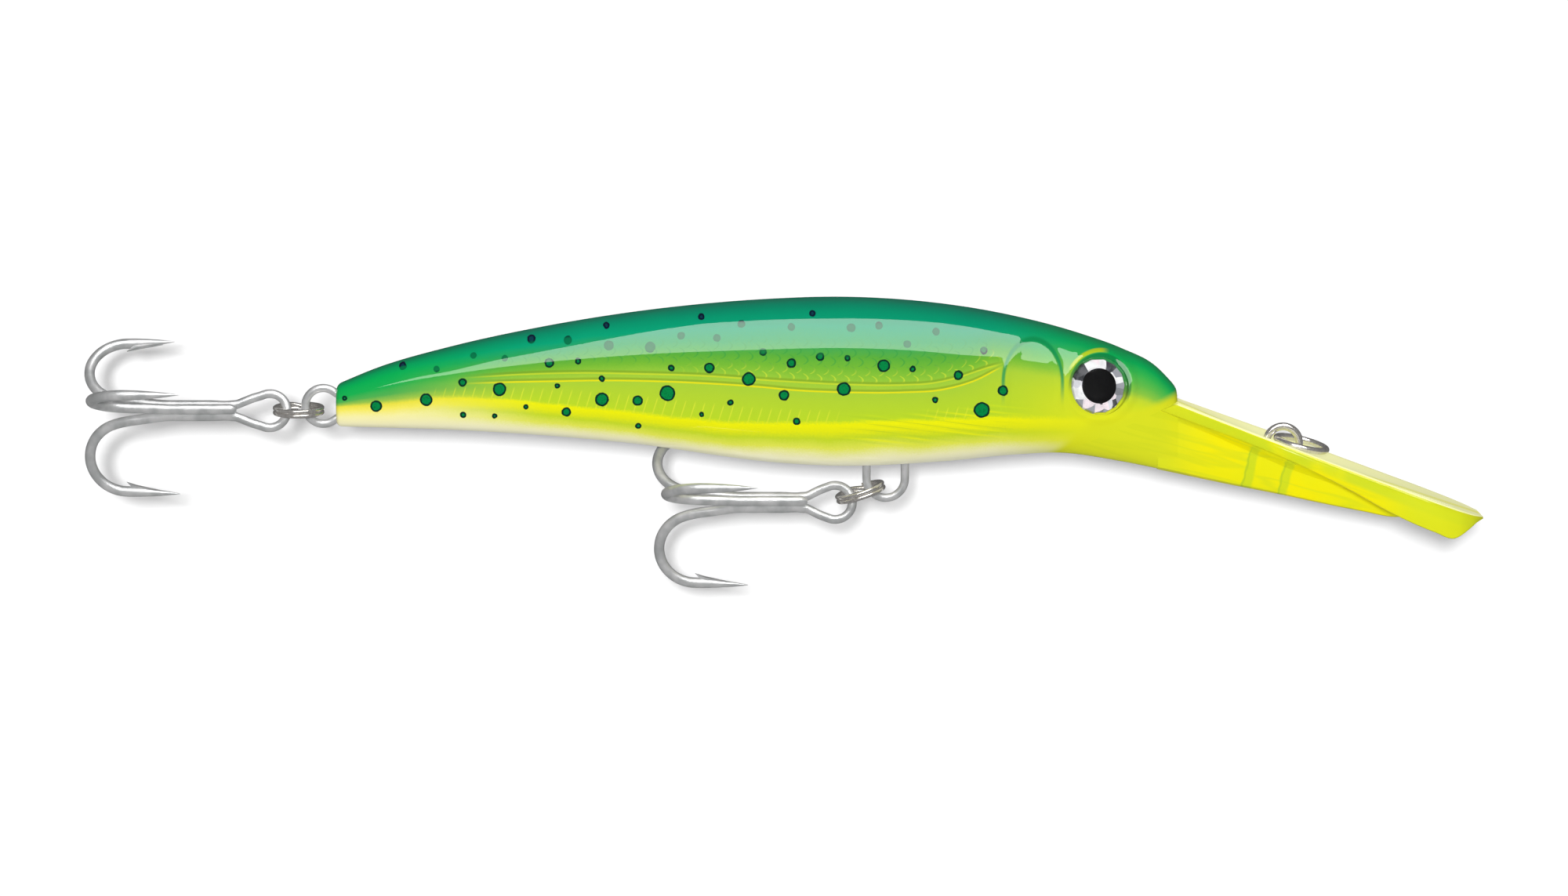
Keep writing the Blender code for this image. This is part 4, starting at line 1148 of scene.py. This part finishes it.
def prong_line(prong):
    """Middle line of one shank and bend from the throat to the point, and its radii."""
    angle, back, point = prong
    flat = [(0.0, LEG_OFFSET), (4.0, LEG_OFFSET), (9.0, LEG_OFFSET), (13.0, LEG_OFFSET + 0.05),
            (back - 4.0, LEG_OFFSET + 0.55)]
    for turn in np.radians(np.linspace(-72, 90, 24)):
        flat.append((back + BEND_RADIUS * math.cos(turn), BEND_HEIGHT + BEND_RADIUS * math.sin(turn)))
    radii = [HOOK_WIRE] * len(flat)
    crest = BEND_HEIGHT + BEND_RADIUS
    climb = POINT_RISE - crest
    taper = ((0.15, 0.96), (0.3, 0.86), (0.45, 0.74), (0.6, 0.6), (0.75, 0.42), (0.9, 0.2), (1.0, 0.05))
    for share, radius in taper:
        flat.append((back + (point - back) * share, crest + climb * share))
        radii.append(radius)
    c = math.cos(math.radians(angle))
    s = math.sin(math.radians(angle))
    return [(b, r * c, r * s) for b, r in flat], radii


def eye_line(upper, lower, reach):
    """Middle line of the eye between two shanks, which meet it at the throat."""
    top = np.array(prong_line(upper)[0][0][1:])
    low = np.array(prong_line(lower)[0][0][1:])
    middle = (top + low) / 2
    climb = (top - low) / np.linalg.norm(top - low)
    start = np.linalg.norm(top - low) / 2
    centre = reach - EYE_ROUND
    flat = []
    for turn in np.radians(np.linspace(115, -115, 31)):
        flat.append((centre + EYE_ROUND * math.cos(turn), EYE_ROUND * math.sin(turn)))
    first, height = flat[0]
    spread = [(1.0, 0.12), (0.25 * first + 0.75, 0.36), (0.6 * first + 0.4, 0.70)]
    opening = [(ahead, start + (height - start) * share) for ahead, share in spread]
    flat = opening + flat + [(ahead, -h) for ahead, h in reversed(opening)]
    return [(-ahead, *(middle + climb * height)) for ahead, height in flat]


def barb(prong, throat):
    """The cut barb on the inner side of a point: a thin wedge that lifts towards the bend."""
    angle, back, _ = prong
    crest = BEND_HEIGHT + BEND_RADIUS
    outline = [(back - 6.6, crest - 0.1), (back - 4.4, crest - 0.55), (back - 1.6, crest - 1.25),
               (back + 0.1, crest - 1.9), (back + 0.2, crest - 1.98), (back - 0.5, crest - 1.25),
               (back - 1.3, crest - 0.6), (back - 2.4, crest)]
    widths = [0.3, 0.42, 0.36, 0.12, 0.1, 0.24, 0.42, 0.5]
    c = math.cos(math.radians(angle))
    s = math.sin(math.radians(angle))
    rings = []
    for sign in (-1.0, 1.0):
        ring = []
        for (b, r), wide in zip(outline, widths):
            ring.append((throat[0] - b, r * c - sign * wide * s, throat[1] + r * s + sign * wide * c))
        rings.append(ring)
    return loft("barb", rings, 30)


def treble(label, throat, material):
    """Both hooks of a treble, each with its barbs."""
    upper, upper_radii = prong_line(UPPER_PRONG)
    lower, lower_radii = prong_line(LOWER_PRONG)
    eye = eye_line(UPPER_PRONG, LOWER_PRONG, EYE_REACH[label])
    double = upper[::-1] + eye + lower
    double_radii = upper_radii[::-1] + [HOOK_EYE_WIRE] * len(eye) + lower_radii
    single, single_radii = prong_line(SIDE_PRONG)
    # The single hook's front end is cut to a slant that fits between the other two shanks.
    single = [(-0.9, single[0][1] * 0.86, single[0][2] * 0.86), *single]
    single_radii = [0.55, *single_radii]
    for kind, line, radii, prongs in (("double", double, double_radii, (UPPER_PRONG, LOWER_PRONG)),
                                      ("single", single, single_radii, (SIDE_PRONG,))):
        path = [(throat[0] - back, y, throat[1] + z) for back, y, z in line]
        points, lengths, at = smooth_path(path, 0.4)
        widths = np.interp(at, lengths, radii)
        hook = tube(f"visual_{label}_hook_{kind}", points, widths, 20)
        for prong in prongs:
            boolean(hook, barb(prong, throat), "UNION")
        finish_surface(hook, 40)
        dress(hook, f"{label}_hook", f"{label}_hook_{kind}", material)


# ---------------------------------------------------------------- eyes

def faceted_foil(label, side, material):
    """Foil disc pressed into radial facets that tilt in turn, as the printed hologram looks."""
    count = FOIL_FACETS
    foil_edge = FOIL - 0.35  # the dome over it makes it look larger
    vertices = [(0.0, 0.0, 0.42), (0.0, 0.0, -0.05)]
    faces = []
    for i in range(count):
        a0 = 2 * math.pi * i / count
        a1 = 2 * math.pi * (i + 1) / count
        tilt = 0.16 * math.sin(i * 2.4) + 0.1 * math.cos(i * 1.1)
        for radius, a, lift in ((PUPIL - 0.4, a0, -tilt), (PUPIL - 0.4, a1, tilt), (foil_edge, a0, -tilt),
                                (foil_edge, a1, tilt)):
            vertices.append((radius * math.cos(a), radius * math.sin(a), 0.28 + lift * 0.3))
    for i in range(count):
        base = 2 + 4 * i
        following = 2 + 4 * ((i + 1) % count)
        faces.append((base, base + 2, base + 3, base + 1))
        faces.append((base + 1, base + 3, following + 2, following))
    rim = [2 + 4 * i + k for i in range(count) for k in (2, 3)]
    inner = [2 + 4 * i + k for i in range(count) for k in (0, 1)]
    low = len(vertices)
    for index in rim:
        vertices.append((vertices[index][0], vertices[index][1], -0.05))
    for k in range(len(rim)):
        after = (k + 1) % len(rim)
        faces.append((rim[k], low + k, low + after, rim[after]))
        faces.append((0, inner[k], inner[after]))
        faces.append((1, low + after, low + k))
    foil = make_object(f"visual_eye_foil_{label}", vertices, faces, 1)
    stand_on_eye(foil, side, SOCKET_DEPTH)
    dress(foil, "root", f"eye_foil_{label}", material)


def eye_top(label, side, black, clear):
    """Pupil and domed lens."""
    disc = [(0, 0.5), (PUPIL - 0.1, 0.5), (PUPIL, 0.56), (PUPIL - 0.05, 0.72), (PUPIL - 0.6, 0.8), (0, 0.84)]
    pupil = turned(f"visual_eye_pupil_{label}", disc, 96)
    dome = [(LENS * math.sin(a), 0.72 + 1.5 * math.cos(a)) for a in np.radians(np.linspace(0, 88, 18))]
    profile = dome + [(LENS, 0.6), (LENS - 0.15, 0.5), (PUPIL + 0.3, 0.5), (PUPIL + 0.25, 0.93), (0, 0.93)]
    lens = turned(f"visual_eye_lens_{label}", profile, 96)
    for piece, kind, material in ((pupil, "pupil", black), (lens, "lens", clear)):
        stand_on_eye(piece, side, SOCKET_DEPTH)
        dress(piece, "root", f"eye_{kind}_{label}", material)
    lens.visible_shadow = False


# ---------------------------------------------------------------- stage

def towards_camera():
    """Direction from the lure to the scene's own camera."""
    return Vector((0.0, -math.cos(VIEW_ELEVATION), math.sin(VIEW_ELEVATION)))


def face(obj, direction):
    """Turns an object's own Z axis to a direction."""
    obj.rotation_euler = direction.to_track_quat("Z", "Y").to_euler()


def camera():
    """A long lens, a little above the lure's right side."""
    data = bpy.data.cameras.new("camera")
    data.sensor_width = SENSOR
    data.lens = SENSOR * VIEW_DISTANCE / VIEW_WIDTH
    data.clip_start = 0.01
    obj = add_object("camera", data)
    target = Vector((VIEW_CENTRE[0], 0.0, VIEW_CENTRE[1])) * MM
    back = towards_camera()
    obj.location = target + back * VIEW_DISTANCE * MM
    face(obj, back)
    bpy.context.scene.camera = obj


def area_light(name, place, target, width, height, watts):
    """A rectangular light towards the target that mirrors don't show."""
    data = bpy.data.lights.new(name, "AREA")
    data.shape = "RECTANGLE"
    data.size = width
    data.size_y = height
    data.energy = watts
    obj = add_object(name, data)
    obj.location = place
    face(obj, Vector(place) - target)
    obj.visible_glossy = False
    return obj


def flat_sheet(name, width, height, material):
    """A level rectangle round the origin."""
    mesh = bpy.data.meshes.new(name)
    x = width / 2
    y = height / 2
    mesh.from_pydata([(-x, -y, 0), (x, -y, 0), (x, y, 0), (-x, y, 0)], [], [(0, 1, 2, 3)])
    mesh.materials.append(material)
    obj = add_object(name, mesh)
    obj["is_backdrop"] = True
    return obj


def paper(name, one_sided):
    """White matte paper. The backdrop is seen from the front only."""
    n = Nodes(name)
    n.set(Base_Color=(0.985, 0.985, 0.985, 1.0), Roughness=1.0, Specular_IOR_Level=0.0)
    if one_sided:
        facing = n.add("ShaderNodeNewGeometry").outputs["Backfacing"]
        clear = n.add("ShaderNodeBsdfTransparent")
        mixer = n.add("ShaderNodeMixShader")
        n.plug(facing, mixer.inputs[0])
        n.tree.links.new(n.shader.outputs[0], mixer.inputs[1])
        n.tree.links.new(clear.outputs[0], mixer.inputs[2])
        n.tree.links.new(mixer.outputs[0], n.tree.nodes["Material Output"].inputs["Surface"])
    return n.material


def light_panel(name, centre, corners, strength):
    """A softbox of any outline, seen in reflections only. It faces the lure from above and in front."""
    mesh = bpy.data.meshes.new(name)
    mesh.from_pydata([(x * MM, y * MM, 0.0) for x, y in corners], [], [tuple(range(len(corners)))])
    material = bpy.data.materials.new(name)
    material.use_nodes = True
    tree = material.node_tree
    glow = tree.nodes.new("ShaderNodeEmission")
    glow.inputs["Strength"].default_value = strength
    tree.links.new(glow.outputs[0], tree.nodes["Material Output"].inputs["Surface"])
    mesh.materials.append(material)
    obj = add_object(name, mesh)
    obj.location = [c * MM for c in centre]
    obj.rotation_euler = (math.radians(45), 0.0, 0.0)
    obj.visible_camera = False
    obj.visible_diffuse = False
    obj.visible_transmission = False
    obj.visible_shadow = False
    obj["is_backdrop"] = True


def stage():
    """White paper behind the lure, a pale floor below it, and soft studio light."""
    scene = bpy.context.scene
    scene.view_settings.view_transform = "Standard"
    low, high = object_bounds()
    middle = (low + high) / 2
    floor = flat_sheet("floor", FLOOR_SIZE, FLOOR_SIZE, paper("floor_paper", False))
    floor.location = (middle.x, 0.0, low.z - FLOOR_DROP)
    floor.visible_glossy = False
    back = towards_camera()
    target = Vector((middle.x, 0.0, middle.z))
    backdrop = flat_sheet("backdrop", *PAPER_SIZE, paper("backdrop_paper", True))
    backdrop.location = target - back * PAPER_BEHIND
    face(backdrop, back)
    backdrop.visible_shadow = False
    backdrop.visible_diffuse = False
    backdrop.visible_glossy = False

    world = bpy.data.worlds.new("studio")
    scene.world = world
    world.use_nodes = True
    tree = world.node_tree
    path = tree.nodes.new("ShaderNodeLightPath")
    shade = tree.nodes["Background"]
    shade.inputs["Color"].default_value = (1, 1, 1, 1)
    shade.inputs["Strength"].default_value = SKY["diffuse"]
    last = shade.outputs[0]
    for ray, strength in (("Is Glossy Ray", SKY["mirrored"]), ("Is Camera Ray", SKY["seen"])):
        other = tree.nodes.new("ShaderNodeBackground")
        other.inputs["Strength"].default_value = strength
        mixer = tree.nodes.new("ShaderNodeMixShader")
        tree.links.new(path.outputs[ray], mixer.inputs[0])
        tree.links.new(last, mixer.inputs[1])
        tree.links.new(other.outputs[0], mixer.inputs[2])
        last = mixer.outputs[0]
    tree.links.new(last, tree.nodes["World Output"].inputs["Surface"])

    key_place = target + back * KEY_AHEAD + Vector(KEY_OFFSET)
    area_light("key", key_place, target, KEY_SIZE, KEY_SIZE, KEY_WATTS)
    for name, y, z, watts in FILLS:
        fill = area_light(name, (middle.x, y, z), target, *FILL_SIZE, watts)
        fill.data.use_shadow = False
    light_panel("softbox", SOFTBOX_PLACE, SOFTBOX, SOFTBOX_STRENGTH)
    for obj in scene.objects:
        if obj.type == "MESH" and obj.name not in ("floor", "backdrop", "softbox"):
            obj.visible_diffuse = False


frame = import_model()

steel = hook_metal()
nickel = ring_metal()
paint = body_paint()
for label, side in (("right", -1.0), ("left", 1.0)):
    body_shell(label, side, paint)
foil_material = eye_foil()
black = eye_black()
clear = eye_clear()
for label, side in (("right", -1.0), ("left", 1.0)):
    faceted_foil(label, side, foil_material)
    eye_top(label, side, black, clear)
diving_lip(clear_lip())
wire("visual_line_tie", "line_tie", tie_points(), TIE_WIRE, nickel)
wire("visual_hanger_wire", "hanger_wire", hanger_points(), HANGER_WIRE, steel)
tow_ring(nickel)
split_ring("tail", TAIL_STRAND, 0.0, nickel)
split_ring("belly", BELLY_STRAND, BELLY_RING_TILT, nickel)
treble("tail", TAIL_THROAT, steel)
treble("belly", BELLY_THROAT, steel)
film = scale_film()
for label in ("right", "left"):
    paint_over(f"scale_foil_{label}", film)
paint_over("belly_weight", cast_metal())
for label in ("tail", "head"):
    paint_over(f"rattle_ball_{label}", nickel)
camera()
stage()
